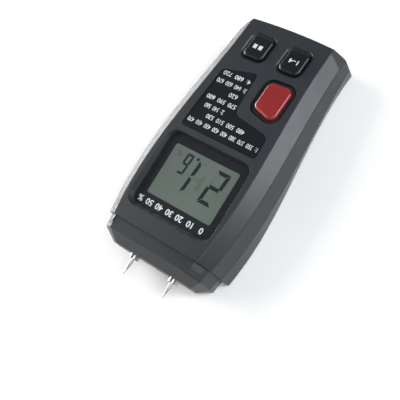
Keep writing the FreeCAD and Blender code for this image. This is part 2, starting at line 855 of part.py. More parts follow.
def power_outline(grow):
    """The power button's slanted shape, grown outwards by grow, about its own origin line."""
    right = f"Size.power_x + Size.power_half + ({grow})"
    left = f"Size.power_x - Size.power_half - ({grow})"
    radius = f"Size.power_corner + ({grow})"
    return [(right, f"-Size.power_tail_right - ({grow})", radius),
            (right, f"Size.power_head_right + ({grow})", radius),
            (left, f"Size.power_head_left + ({grow})", radius),
            (left, f"-Size.power_tail_left - ({grow})", radius)]


def panel_outline(shrink):
    """The printed panel: a wide foot beside the display and a narrower arm up the handle."""
    return [
        (f"({shrink}) - Size.panel_foot_left", f"Size.panel_foot_top - ({shrink})", "Size.panel_corner"),
        (f"({shrink}) - Size.panel_foot_right", f"Size.panel_notch_left + ({shrink})", "Size.panel_notch_radius"),
        (f"({shrink})", f"Size.panel_notch_right + ({shrink})", "Size.panel_notch_radius"),
        (f"Size.panel_arm_left + ({shrink})", f"({shrink}) - Size.panel_arm_left_end", "Size.panel_corner"),
        (f"Size.panel_arm_right - ({shrink})", f"({shrink}) - Size.panel_arm_right_end", "Size.panel_corner"),
        (f"Size.panel_foot_right - ({shrink})", f"Size.panel_foot_top - ({shrink})", "Size.panel_corner"),
    ]


def lens_outline(sketch, grow):
    """The display window's outline, grown outwards by grow."""
    return rounded_rectangle(sketch, 0, 0, f"Size.lens_half_x + {grow}", f"Size.lens_half_y + {grow}",
                             f"Size.lens_radius + {grow}")


def display_openings(body):
    """The window's seat, its flared rim and the opening for the display glass."""
    seat = tilted_sketch(body, "lens_seat", *DISPLAY_PLACE, "-Size.lens_thick - Size.mask_thick")
    pocket(body, "lens_seat_cut", lens_outline(seat, "Size.lens_gap"), "Size.cut_depth", upwards=True)
    low = lens_outline(tilted_sketch(body, "rim_low", *DISPLAY_PLACE), "Size.lens_gap")
    high = lens_outline(tilted_sketch(body, "rim_high", *DISPLAY_PLACE, "Size.recess_rise"), "Size.recess_flare")
    loft(body, "SubtractiveLoft", "display_rim", [low, high])
    opening = tilted_sketch(body, "window_outline", *DISPLAY_PLACE)
    rounded_rectangle(opening, 0, "Size.window_offset", "Size.glass_half_x + Size.glass_gap",
                      "Size.glass_half_y + Size.glass_gap", "Size.glass_corner")
    pocket(body, "window_cut", opening, "Size.cut_depth")


def panel_recess(body):
    seat = tilted_sketch(body, "panel_seat", *PANEL_PLACE, "-Size.panel_depth")
    pocket(body, "panel_cut", rounded(seat, panel_outline("0")), "Size.cut_depth", upwards=True)


def power_opening(body):
    """The power button's hole and the sunken floor round it."""
    hole = rounded(new_sketch(body, "power_hole", "XY_Plane", "Size.over_face"),
                   shifted(power_outline("Size.button_gap"), "Size.power_at"))
    pocket(body, "power_hole_cut", hole, "Size.cut_depth")
    floor = rounded(tilted_sketch(body, "power_floor", *POWER_PLACE, "-Size.power_depth"),
                    power_outline("Size.power_dish_floor"))
    rim = rounded(tilted_sketch(body, "power_rim", *POWER_PLACE, "Size.power_dish_rise"),
                  power_outline("Size.power_dish_rim"))
    loft(body, "SubtractiveLoft", "power_dish", [floor, rim])


SMALL_BUTTONS = {"hold": 1, "mode": -1}


def small_outline(side, grow):
    """A small button's outline, grown outwards by grow, about its own origin line."""
    middle = f"({side}) * Size.small_button_x"
    half_x = f"(Size.small_button_half_x + ({grow}))"
    half_y = f"(Size.small_button_half_y + ({grow}))"
    return [(f"{middle} + ({side_x}) * {half_x}", f"({side_y}) * {half_y}", f"Size.small_button_corner + ({grow})")
            for side_x, side_y in [(-1, -1), (1, -1), (1, 1), (-1, 1)]]


def small_openings(body):
    """A hole and a soft dish for each small button."""
    for name, side in SMALL_BUTTONS.items():
        hole = rounded(new_sketch(body, f"{name}_hole", "XY_Plane", "Size.over_face"),
                       shifted(small_outline(side, "Size.button_gap"), "Size.small_button_at"))
        pocket(body, f"{name}_hole_cut", hole, "Size.cut_depth")
        floor = rounded(tilted_sketch(body, f"{name}_dish_floor", *SMALL_PLACE, "-Size.dish_depth"),
                        small_outline(side, "Size.dish_floor"))
        rim = rounded(tilted_sketch(body, f"{name}_dish_rim", *SMALL_PLACE, "Size.dish_depth"),
                      small_outline(side, "2 * Size.dish_rim - Size.dish_floor"))
        loft(body, "SubtractiveLoft", f"{name}_dish", [floor, rim])


def shifted(corners, shift_y):
    """The same corners, moved along Y."""
    return [(x, f"({y}) + ({shift_y})", radius) for x, y, radius in corners]


# ---------------------------------------------------------------- rear case and battery door

def rear_case():
    body = new_body("RearCase")
    half_form(body, rear_corners, "rear")
    flat_back = rounded_rectangle(new_sketch(body, "back_outline", "XY_Plane"), 0, 0, "Size.clear_span",
                                  "Size.clear_span", "Size.wall")
    pocket(body, "back_cut", flat_back, "Size.wall / 2")
    trim_end(body, "rear")
    half_cavity(body, rear_corners, "rear")
    neck_rear(body)
    battery_bay(body)
    door_ways(body)
    floor = "Size.wall - Size.floor_lap"
    posts = circles(new_sketch(body, "post_outline", "XY_Plane", floor), BOSSES, "Size.post_radius")
    pad(body, "posts", posts, f"Size.parting - Size.parting_gap - ({floor})")
    seats = circles(new_sketch(body, "screw_seats", "XY_Plane"), BOSSES, "Size.case_screw_head + Size.seat_gap")
    pocket(body, "screw_seat_cut", seats, "Size.case_screw_seat + Size.case_screw_head_height", upwards=True)
    ways = circles(new_sketch(body, "screw_ways", "XY_Plane"), BOSSES, "Size.case_screw_way")
    pocket(body, "screw_way_cut", ways, "Size.cut_depth", upwards=True)
    return keep(body, "rear_case")


def neck_rear(body):
    """Rear half of the nose, stepped in like the front half."""
    top = "Size.parting - Size.parting_gap"

    def section(name, at, top_half, low_half, low_level):
        sketch = new_sketch(body, f"rear_neck_{name}", "XZ_Plane", f"-({at})")
        return polygon(sketch, [(f"-({low_half})", low_level), (low_half, low_level),
                                (top_half, top), (f"-({top_half})", top)])

    root_half = neck_belt("2 * Size.neck_flare")
    shoulder_half = neck_belt("Size.neck_flare - Size.neck_draw")
    shoulder = ("Size.neck_shoulder_at", shoulder_half, f"{shoulder_half} - Size.neck_back_inset", "Size.neck_inset")
    root = section("root", "Size.seam_at - Size.neck_lap", root_half, f"{root_half} - Size.neck_back_inset",
                   "Size.neck_inset")
    loft(body, "AdditiveLoft", "rear_neck", [root, section("shoulder", *shoulder)], ruled=True)
    tip = section("tip", "Size.neck_end_at", "Size.neck_end_half", "Size.neck_back_end", "Size.neck_back_rise")
    loft(body, "AdditiveLoft", "rear_nose", [section("nose_root", *shoulder), tip], ruled=True)
    hollow = new_sketch(body, "rear_neck_hollow_outline", "XZ_Plane", "-Size.neck_cavity_from")
    side = f"({shoulder_half} - Size.neck_back_inset - Size.wall)"
    rectangle(hollow, f"-{side}", side, "Size.neck_inset + Size.wall", "Size.parting + Size.wall")
    pocket(body, "rear_neck_hollow", hollow, "Size.neck_shoulder_at - Size.nose_wall - Size.neck_cavity_from",
           upwards=False)


def battery_bay(body):
    """A box for the cells with a low skirt round it, hollowed from the back."""
    floor = "Size.wall - Size.floor_lap"
    skirt_half = "(Size.door_half_x + Size.door_tongue + Size.door_gap + Size.bay_wall)"
    skirt = rectangle(new_sketch(body, "skirt_outline", "XY_Plane", floor), f"-{skirt_half}", skirt_half,
                      "Size.cavity_end_at - Size.floor_lap", "Size.door_to + Size.door_gap + Size.bay_wall")
    pad(body, "bay_skirt", skirt, "Size.skirt_height")
    bay_half = "(Size.bay_half_x + Size.bay_wall)"
    bay = rectangle(new_sketch(body, "bay_outline", "XY_Plane", floor), f"-{bay_half}", bay_half,
                    "Size.bay_from - Size.bay_wall", "Size.bay_to + Size.bay_wall")
    pad(body, "bay_block", bay, f"Size.bay_roof + Size.bay_wall - ({floor})")
    hollow = rectangle(new_sketch(body, "bay_hollow_outline", "XY_Plane"), "-Size.bay_half_x", "Size.bay_half_x",
                       "Size.bay_from", "Size.bay_to")
    pocket(body, "bay_hollow", hollow, "Size.bay_roof", upwards=True)


def door_ways(body):
    """The opening that the battery door slides into, with a groove for its tongues."""
    half = "(Size.door_half_x + Size.door_gap)"
    beyond = "Size.tail_at - Size.wall"
    opening = rectangle(new_sketch(body, "door_way_outline", "XY_Plane"), f"-{half}", half, beyond,
                        "Size.door_to + Size.door_gap")
    pocket(body, "door_way", opening, "Size.door_thick", upwards=True)
    grooves = rectangle(new_sketch(body, "tongue_way_outline", "XY_Plane", "Size.door_thick"),
                        f"-{half} - Size.door_tongue", f"{half} + Size.door_tongue", beyond,
                        "Size.door_to + Size.door_gap")
    pocket(body, "tongue_way", grooves, "Size.tongue_thick + 3 * Size.door_gap", upwards=True)


GRIP_GROOVES = 5


def battery_door():
    body = new_body("BatteryDoor")
    outer = rectangle(new_sketch(body, "door_outline", "XY_Plane"), "-Size.door_half_x", "Size.door_half_x",
                      "Size.tail_at", "Size.door_to")
    pad(body, "door_plate", outer, "Size.door_thick + Size.door_gap")
    tongue_half = "(Size.door_half_x + Size.door_tongue - Size.door_gap)"
    inner = rectangle(new_sketch(body, "tongue_outline", "XY_Plane", "Size.door_thick + Size.door_gap"),
                      f"-{tongue_half}", tongue_half, "Size.tail_at", "Size.door_to - Size.door_gap")
    pad(body, "door_tongues", inner, "Size.tongue_thick")
    trim_end(body, "door")
    for index in range(GRIP_GROOVES):
        at = f"Size.end_corner_at + Size.groove_inset + {index} * Size.groove_pitch"
        half = f"(Size.groove_half - {index} * Size.groove_step)"
        groove = rectangle(new_sketch(body, f"grip_groove_{index}", "XY_Plane"), f"-{half}", half, at,
                           f"{at} + Size.groove_width")
        pocket(body, f"grip_cut_{index}", groove, "Size.groove_depth", upwards=True)
    return keep(body, "battery_door")


# ---------------------------------------------------------------- display

def tilted_plate(name, label, half_x, half_y, radius, offset, low, thick):
    """A plate in the display's tilted plane."""
    body = new_body(name)
    sketch = tilted_sketch(body, f"{label}_outline", *DISPLAY_PLACE, low)
    rounded_rectangle(sketch, 0, offset, half_x, half_y, radius)
    pad(body, f"{label}_plate", sketch, thick)
    return keep(body, label)


def display_parts():
    """The clear window, its printed mask, the display glass and the panel that lights it."""
    window = ("Size.lens_half_x", "Size.lens_half_y", "Size.lens_radius")
    lens = tilted_plate("DisplayLens", "display_lens", *window, 0, "-Size.lens_thick", "Size.lens_thick")
    round_edges(lens, "lens_rounding", "Size.lens_edge", lambda middle, along, edge: on_lens_top(middle))
    mask_low = "-Size.lens_thick - Size.mask_thick"
    mask = tilted_plate("DisplayMask", "display_mask", *window, 0, mask_low, "Size.mask_thick - Size.film_gap")
    hole = tilted_sketch(mask, "mask_window", *DISPLAY_PLACE)
    rounded_rectangle(hole, 0, "Size.window_offset", "Size.window_half_x", "Size.window_half_y",
                      "Size.window_corner")
    pocket(mask, "mask_window_cut", hole, "Size.cut_depth")
    glass_low = f"{mask_low} - Size.stack_gap - Size.glass_thick"
    tilted_plate("LcdGlass", "lcd_glass", "Size.glass_half_x", "Size.glass_half_y", "Size.glass_corner",
                 "Size.window_offset", glass_low, "Size.glass_thick")
    tilted_plate("Backlight", "backlight_panel", "Size.glass_half_x - Size.backlight_inset_x",
                 "Size.glass_half_y - Size.backlight_inset_y", "Size.glass_corner", "Size.window_offset",
                 f"{glass_low} - Size.backlight_thick - Size.stack_gap", "Size.backlight_thick")


def on_lens_top(point):
    """True for a point on the upper face of the display lens."""
    return on_plane(tilted_place(*DISPLAY_PLACE), point)


def on_plane(place, point):
    """True for a point on the XY plane of a placement."""
    return abs(place.inverse().multVec(point).z) < TOUCHING


BOARD_TOP = "(Size.board_level + Size.board_thick)"


def lcd_frame():
    """The moulded frame that holds the display glass over the board."""
    body = new_body("LcdFrame")
    middle = "Size.display_at + Size.window_offset"
    outer_x = "(Size.glass_half_x + Size.frame_wall_x)"
    outer_y = "(Size.glass_half_y + Size.frame_wall_y)"
    outer = rectangle(new_sketch(body, "frame_outline", "XY_Plane", BOARD_TOP), f"-{outer_x}", outer_x,
                      f"{middle} - {outer_y}", f"{middle} + {outer_y}")
    pad(body, "frame_block", outer, f"Size.tray_floor - Size.lens_gap - {BOARD_TOP}")
    inner_x = "(Size.glass_half_x + Size.glass_gap)"
    inner_y = "(Size.glass_half_y + Size.glass_gap)"
    inner = rectangle(new_sketch(body, "frame_hole", "XY_Plane", BOARD_TOP), f"-{inner_x}", inner_x,
                      f"{middle} - {inner_y}", f"{middle} + {inner_y}")
    pocket(body, "frame_hole_cut", inner, "Size.cut_depth", upwards=True)
    return keep(body, "lcd_frame")


def connector_strip():
    """The rubber contact strip between the glass and the board."""
    low_y = "Size.display_at + Size.window_offset - Size.glass_half_y + Size.contact_inset"
    strip = block("ConnectorStrip", ("-Size.contact_half", low_y, BOARD_TOP),
                  ("2 * Size.contact_half", "Size.contact_depth", f"Size.contact_top - {BOARD_TOP}"))
    return keep(strip, "contact_strip")


def species_panel():
    body = new_body("SpeciesPanel")
    sketch = tilted_sketch(body, "film_outline", *PANEL_PLACE, "-Size.panel_depth")
    pad(body, "film", rounded(sketch, panel_outline("Size.panel_film_inset")), "Size.panel_film")
    return keep(body, "species_panel")


# ---------------------------------------------------------------- buttons

def button_cap(name, label, outline, place, rise, crown):
    """A cap with a flange under the face and a rounded top that follows the face."""
    body = new_body(name)
    at = place[0]
    flange = rounded(new_sketch(body, f"{label}_flange_outline", "XY_Plane", "Size.cap_bottom"),
                     shifted(outline("Size.flange_lip"), at))
    pad(body, f"{label}_flange", flange, "Size.flange_thick")
    stem = rounded(new_sketch(body, f"{label}_stem_outline", "XY_Plane", "Size.cap_bottom"),
                   shifted(outline("0"), at))
    pad(body, f"{label}_stem", stem, "Size.cap_stock")
    skim = tilted_sketch(body, f"{label}_top_plane", *place, rise)
    rectangle(skim, "-Size.clear_span / 2", "Size.clear_span / 2", "-Size.clear_span / 4", "Size.clear_span / 4")
    pocket(body, f"{label}_top_cut", skim, "Size.cut_depth", upwards=True)
    top = tilted_place(*place, rise)
    round_edges(body, f"{label}_rounding", crown, lambda middle, along, edge: on_plane(top, middle))
    return keep(body, label)


def buttons():
    for name, side in SMALL_BUTTONS.items():
        def outline(grow):
            return small_outline(side, grow)
        button_cap(f"{name.title()}Button", f"{name}_button", outline, SMALL_PLACE, "Size.small_button_rise",
                   "Size.small_button_crown")
    button_cap("PowerButton", "power_button", power_outline, POWER_PLACE, "Size.power_rise", "Size.power_crown")


def power_collar():
    """The dark ring that lies on the sunken floor round the power button."""
    body = new_body("PowerCollar")
    rim = rounded(tilted_sketch(body, "collar_outline", *POWER_PLACE, "Size.film_gap - Size.power_depth"),
                  power_outline("Size.button_gap + Size.collar_width"))
    pad(body, "collar_ring", rim, "Size.collar_height")
    hole = rounded(new_sketch(body, "collar_hole", "XY_Plane", "Size.over_face"),
                   shifted(power_outline("Size.button_gap"), "Size.power_at"))
    pocket(body, "collar_hole_cut", hole, "Size.cut_depth")
    return keep(body, "power_collar")


SWITCHES = {
    "power": ("Size.power_x", "Size.power_at"),
    "hold": ("Size.small_button_x", "Size.small_button_at"),
    "mode": ("-Size.small_button_x", "Size.small_button_at"),
}


def switches():
    """Square push switches on the board, each with its own plunger."""
    housings = []
    for name, (x, y) in SWITCHES.items():
        shell = block(f"{name}_switch_shell", (f"{x} - Size.switch_half", f"{y} - Size.switch_half", BOARD_TOP),
                      ("2 * Size.switch_half", "2 * Size.switch_half", "Size.switch_height"))
        well = rod(f"{name}_switch_well", (x, y, f"{BOARD_TOP} + Size.switch_floor"), "z",
                   "Size.plunger_radius + Size.plunger_gap", "Size.switch_height")
        housings.append(cut(f"{name}_switch_body", shell, well))
        foot = f"({BOARD_TOP} + Size.switch_floor + Size.press_travel + Size.plunger_gap)"
        plunger = rod(f"{name}_plunger_rod", (x, y, foot), "z", "Size.plunger_radius", f"Size.cap_bottom - {foot}")
        keep(plunger, f"{name}_plunger")
    keep(group("SwitchBodies", housings), "switch_bodies")


# ---------------------------------------------------------------- board and its parts

BOARD_SCREWS = (both_sides("Size.board_screw_tail_x", "Size.board_screw_tail_at")
                + both_sides("Size.board_screw_neck_x", "Size.board_screw_neck_at"))


def circuit_board():
    """The board: narrow between the handle's bosses, wide under the display, narrow again in the neck."""
    body = new_body("CircuitBoard")
    right = [("Size.board_tail_half", "Size.board_tail_at"), ("Size.board_tail_half", "Size.board_tail_step"),
             ("Size.board_waist_half", "Size.board_tail_step"), ("Size.board_waist_half", "Size.board_flare_from"),
             ("Size.board_wide_half", "Size.board_flare_to"), ("Size.board_wide_half", "Size.board_wide_end"),
             ("Size.board_nose_half", "Size.board_wide_end"), ("Size.board_nose_half", "Size.board_nose_at")]
    left = [(f"-{x}", y) for x, y in reversed(right)]
    sketch = polygon(new_sketch(body, "board_outline", "XY_Plane", "Size.board_level"), right + left)
    pad(body, "board_sheet", sketch, "Size.board_thick")
    holes = circles(new_sketch(body, "board_holes", "XY_Plane", "Size.board_level"), BOARD_SCREWS,
                    "Size.board_hole")
    pocket(body, "board_hole_cut", holes, "2 * Size.board_thick", upwards=True)
    return keep(body, "circuit_board")


def screw(kind, index, x, y, seat, upwards):
    """A pan-head screw with a cross slot; its shank rises from the seat or hangs below it."""
    name = f"{kind}_{index}"
    height = f"Size.{kind}_head_height"
    head = rod(f"{name}_head", (x, y, seat), "z", f"Size.{kind}_head", height)
    shank_from = f"{seat} + {height}" if upwards else f"{seat} - Size.{kind}_length"
    shank = rod(f"{name}_shank", (x, y, shank_from), "z", f"Size.{kind}_radius", f"Size.{kind}_length")
    slot_level = f"{seat} - Size.slot_depth" if upwards else f"{seat} + {height} - Size.slot_depth"
    arm = f"Size.{kind}_head * Size.slot_reach"
    bars = [block(f"{name}_slot_{turn}", (f"{x} - {half_x}", f"{y} - {half_y}", slot_level),
                  (f"2 * {half_x}", f"2 * {half_y}", "2 * Size.slot_depth"))
            for turn, (half_x, half_y) in enumerate([(arm, "Size.slot_half"), ("Size.slot_half", arm)])]
    return cut(name, fused(f"{name}_blank", [head, shank]), fused(f"{name}_cross", bars))


def screws():
    case_screws = [screw("case_screw", index, x, y, "Size.case_screw_seat", True)
                   for index, (x, y) in enumerate(BOSSES)]
    keep(group("CaseScrews", case_screws), "case_screws")
    board_screws = [screw("board_screw", index, x, y, BOARD_TOP, False)
                    for index, (x, y) in enumerate(BOARD_SCREWS)]
    keep(group("BoardScrews", board_screws), "board_screws")


SMALL_CHIPS = 6


def board_components():
    """The chips and small parts soldered to the upper side of the board."""
    chip = block("Microcontroller", ("Size.chip_x", "Size.chip_at", BOARD_TOP),
                 ("Size.chip_width", "Size.chip_depth", "Size.chip_height"))
    keep(chip, "microcontroller")
    amplifier = block("Amplifier", ("Size.amplifier_x", "Size.amplifier_at", BOARD_TOP),
                      ("Size.amplifier_width", "Size.amplifier_depth", "Size.amplifier_height"))
    keep(amplifier, "sensing_amplifier")
    crystal = rod("Crystal", ("Size.crystal_x", "Size.crystal_at", f"{BOARD_TOP} + Size.crystal_radius"), "y",
                  "Size.crystal_radius", "Size.crystal_length")
    keep(crystal, "crystal_can")
    small = []
    for kind in ("resistor", "capacitor"):
        for index in range(SMALL_CHIPS):
            x = f"Size.{kind}_x + {index} * Size.{kind}_pitch"
            small.append(block(f"{kind}_{index}", (x, f"Size.{kind}_at", BOARD_TOP),
                               ("Size.small_chip_width", "Size.small_chip_depth", f"Size.{kind}_height")))
    keep(group("ChipParts", small), "chip_resistors_and_capacitors")


# ---------------------------------------------------------------- electrodes

def pin(tag, x):
    """A pointed needle with a thicker stud behind it that screws into the socket."""
    level = "Size.pin_level"
    stud = rod(f"{tag}_pin_stud", (x, "Size.neck_end_at - Size.stud_length", level), "y", "Size.stud_radius",
               "Size.stud_length + Size.nut_gap + Size.nut_length")
    shank = rod(f"{tag}_pin_shank", (x, "Size.neck_end_at", level), "y", "Size.pin_radius",
                "Size.pin_length - Size.pin_taper")
    point = taper(f"{tag}_pin_point", (x, "Size.neck_end_at + Size.pin_length - Size.pin_taper", level), "y",
                  "Size.pin_radius", "Size.point_radius", "Size.pin_taper")
    return fused(f"{tag}_pin", [stud, shank, point])


def nut(tag, x):
    """The round nut that clamps a pin against the nose."""
    level = "Size.pin_level"
    barrel = rod(f"{tag}_nut_round", (x, "Size.neck_end_at + Size.nut_gap", level), "y", "Size.nut_radius",
                 "Size.nut_length")
    bore = rod(f"{tag}_nut_bore", (x, "Size.neck_end_at - Size.nut_length", level), "y",
               "Size.stud_radius + Size.stud_gap", "Size.cut_depth")
    return cut(f"{tag}_nut", barrel, bore)


def socket(tag, x):
    """The brass sleeve inside the nose that the stud screws into."""
    level = "Size.pin_level"
    barrel = rod(f"{tag}_socket_round", (x, "Size.neck_end_at - Size.socket_recess - Size.socket_length", level),
                 "y", "Size.socket_radius", "Size.socket_length")
    bore = rod(f"{tag}_socket_bore", (x, "Size.neck_end_at - Size.stud_length - Size.stud_end_gap", level), "y",
               "Size.stud_radius + Size.stud_gap", "Size.socket_length")
    return cut(f"{tag}_socket", barrel, bore)


def contact_strip_piece(tag, x):
    """A bent brass strip from the back of a socket to the board."""
    left = f"{x} - Size.strip_width / 2"
    socket_back = "Size.neck_end_at - Size.socket_recess - Size.socket_length - Size.contact_gap"
    foot_level = f"{BOARD_TOP} + Size.contact_gap"
    low = "(Size.pin_level - Size.strip_drop)"
    foot = block(f"{tag}_strip_foot", (left, f"{socket_back} - Size.strip_foot", foot_level),
                 ("Size.strip_width", "Size.strip_foot", "Size.strip_thick"))
    drop = block(f"{tag}_strip_drop", (left, f"{socket_back} - Size.strip_thick", low),
                 ("Size.strip_width", "Size.strip_thick", f"{foot_level} + Size.strip_thick - {low}"))
    return fused(f"{tag}_strip", [foot, drop])


def electrodes():
    """Pins, nuts, brass sockets, the moulded block that holds them and the strips to the board."""
    sides = {"left": "-Size.pin_half_spacing", "right": "Size.pin_half_spacing"}
    keep(group("ElectrodePins", [pin(tag, x) for tag, x in sides.items()]), "electrode_pins")
    keep(group("PinNuts", [nut(tag, x) for tag, x in sides.items()]), "pin_nuts")
    keep(group("PinSockets", [socket(tag, x) for tag, x in sides.items()]), "pin_sockets")
    keep(group("ContactStrips", [contact_strip_piece(tag, x) for tag, x in sides.items()]), "electrode_strips")
    bores = [rod(f"{tag}_block_bore", (x, "Size.carrier_from - Size.carrier_depth", "Size.pin_level"), "y",
                 "Size.socket_radius + Size.socket_gap", "3 * Size.carrier_depth") for tag, x in sides.items()]
    carrier = block("carrier_block", ("-Size.carrier_half", "Size.carrier_from",
                                      "Size.pin_level - Size.carrier_half_height"),
                    ("2 * Size.carrier_half", "Size.carrier_depth", "2 * Size.carrier_half_height"))
    keep(cut("ElectrodeCarrier", carrier, group("carrier_bores", bores)), "electrode_carrier")


# ---------------------------------------------------------------- battery

CELLS = 3


def battery():
    """Small cells side by side, turned end for end, with leaf springs and contact plates."""
    cells = []
    springs = []
    plates = []
    for index in range(CELLS):
        x = f"{index - CELLS // 2} * Size.cell_spacing"
        facing = 1 if index % 2 == 0 else -1
        cells.append(cell(f"cell_{index}", x, facing))
        springs.append(leaf_spring(f"Leaf{index}", x, facing))
        plates += contact_plates(f"plate_{index}", x)
    keep(group("BatteryCells", cells), "battery_cells")
    keep(group("BatterySprings", springs), "battery_springs")
    keep(group("BatteryPlates", plates), "battery_contacts")


def cell(name, x, facing):
    """One cell with its small raised contact; facing is +1 when that points towards the pins."""
    start = f"((Size.bay_from + Size.bay_to) / 2 + ({facing}) * Size.cell_shift - Size.cell_length / 2)"
    tube = rod(f"{name}_tube", (x, start, "Size.cell_level"), "y", "Size.cell_radius", "Size.cell_length")
    nub_start = f"{start} + Size.cell_length" if facing > 0 else f"{start} - Size.nub_length"
    nub = rod(f"{name}_nub", (x, nub_start, "Size.cell_level"), "y", "Size.nub_radius", "Size.nub_length")
    return fused(name, [tube, nub])


def contact_plates(name, x):
    """The square metal plates at both ends of a cell."""
    ends = {"near": "Size.bay_from + Size.contact_gap", "far": "Size.bay_to - Size.plate_thick - Size.contact_gap"}
    return [block(f"{name}_{end}", (f"{x} - Size.plate_half", at, "Size.cell_level - Size.plate_half"),
                  ("2 * Size.plate_half", "Size.plate_thick", "2 * Size.plate_half")) for end, at in ends.items()]


def leaf_spring(name, x, facing):
    """A folded strip of sheet metal between a contact plate and a cell's flat end."""
    body = new_body(name)
    wall = "Size.bay_from" if facing > 0 else "Size.bay_to"
    inside = "Size.leaf_reach - Size.leaf_thick"
    profile = (("0", "-Size.leaf_half"), ("0", "Size.leaf_half"),
               ("Size.leaf_reach", "Size.leaf_tip"), ("Size.leaf_reach", "-Size.leaf_tip"),
               (inside, "-Size.leaf_tip"), (inside, "Size.leaf_tip - Size.leaf_thick * Size.leaf_fold"),
               ("Size.leaf_thick", "Size.leaf_half - Size.leaf_thick * 2 * Size.leaf_fold"),
               ("Size.leaf_thick", "-Size.leaf_half"))
    corners = [(f"{wall} + ({facing}) * (Size.plate_thick + Size.leaf_gap + {out})", f"Size.cell_level + {up}")
               for out, up in profile]
    strip = polygon(new_sketch(body, f"{name}_profile", "YZ_Plane", f"{x} - Size.leaf_width / 2"), corners)
    pad(body, f"{name}_strip", strip, "Size.leaf_width")
    return body


# ---------------------------------------------------------------- build, check and export

def check_document():
    """Stop if any object failed or any sub-part has no valid shape."""
    failed = [item.Label for item in doc.Objects if "Invalid" in item.State or "Error" in item.State]
    if failed:
        raise RuntimeError(f"these objects failed: {failed}")
    for item in sub_parts:
        if item.Shape.isNull() or not item.Shape.isValid():
            raise RuntimeError(f"{item.Label} has no valid shape")
        if not item.Shape.Solids:
            raise RuntimeError(f"{item.Label} has no solid")


def main():
    front_case()
    rear_case()
    battery_door()
    display_parts()
    lcd_frame()
    connector_strip()
    species_panel()
    buttons()
    power_collar()
    switches()
    circuit_board()
    board_components()
    screws()
    electrodes()
    battery()
    doc.recompute()
    check_document()
    os.makedirs("parts", exist_ok=True)
    for item in sub_parts:
        item.Shape.exportStep(f"parts/{item.Label}.step")
        box = item.Shape.BoundBox
        print(f"{item.Label}: {len(item.Shape.Solids)} solids, {item.Shape.Volume:.1f} mm3, "
              f"x {box.XMin:.2f}..{box.XMax:.2f} y {box.YMin:.2f}..{box.YMax:.2f} z {box.ZMin:.2f}..{box.ZMax:.2f}")


main()
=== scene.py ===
"""Looks of a handheld two-pin wood moisture meter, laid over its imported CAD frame."""
import math

import bmesh
import bpy
from mathutils import Matrix, Vector


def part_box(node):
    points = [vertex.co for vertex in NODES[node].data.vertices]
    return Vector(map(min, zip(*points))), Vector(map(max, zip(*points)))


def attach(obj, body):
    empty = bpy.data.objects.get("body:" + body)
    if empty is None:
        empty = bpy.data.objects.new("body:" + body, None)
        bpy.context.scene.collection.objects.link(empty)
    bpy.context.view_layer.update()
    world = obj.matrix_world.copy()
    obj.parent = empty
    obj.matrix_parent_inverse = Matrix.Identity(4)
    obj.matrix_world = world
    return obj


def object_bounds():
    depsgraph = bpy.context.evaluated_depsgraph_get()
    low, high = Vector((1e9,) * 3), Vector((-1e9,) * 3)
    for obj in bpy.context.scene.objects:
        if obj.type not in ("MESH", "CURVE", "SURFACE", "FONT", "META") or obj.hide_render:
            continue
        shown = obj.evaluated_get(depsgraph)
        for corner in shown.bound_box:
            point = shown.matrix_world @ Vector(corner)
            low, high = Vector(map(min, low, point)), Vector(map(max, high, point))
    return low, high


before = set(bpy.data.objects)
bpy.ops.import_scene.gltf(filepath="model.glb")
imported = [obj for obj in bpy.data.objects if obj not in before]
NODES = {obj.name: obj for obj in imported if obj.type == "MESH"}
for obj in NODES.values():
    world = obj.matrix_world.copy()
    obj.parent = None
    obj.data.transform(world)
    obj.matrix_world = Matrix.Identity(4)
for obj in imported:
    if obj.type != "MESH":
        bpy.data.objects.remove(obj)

CAD_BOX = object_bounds()
MM = 0.001
FULL_LOW, FULL_HIGH = (Vector(corner) for corner in CAD_BOX)
LENGTH = FULL_HIGH.y - FULL_LOW.y
MIDDLE = Vector((0, 0, FULL_HIGH.z / 2))


# ---------------------------------------------------------------- node tree helpers

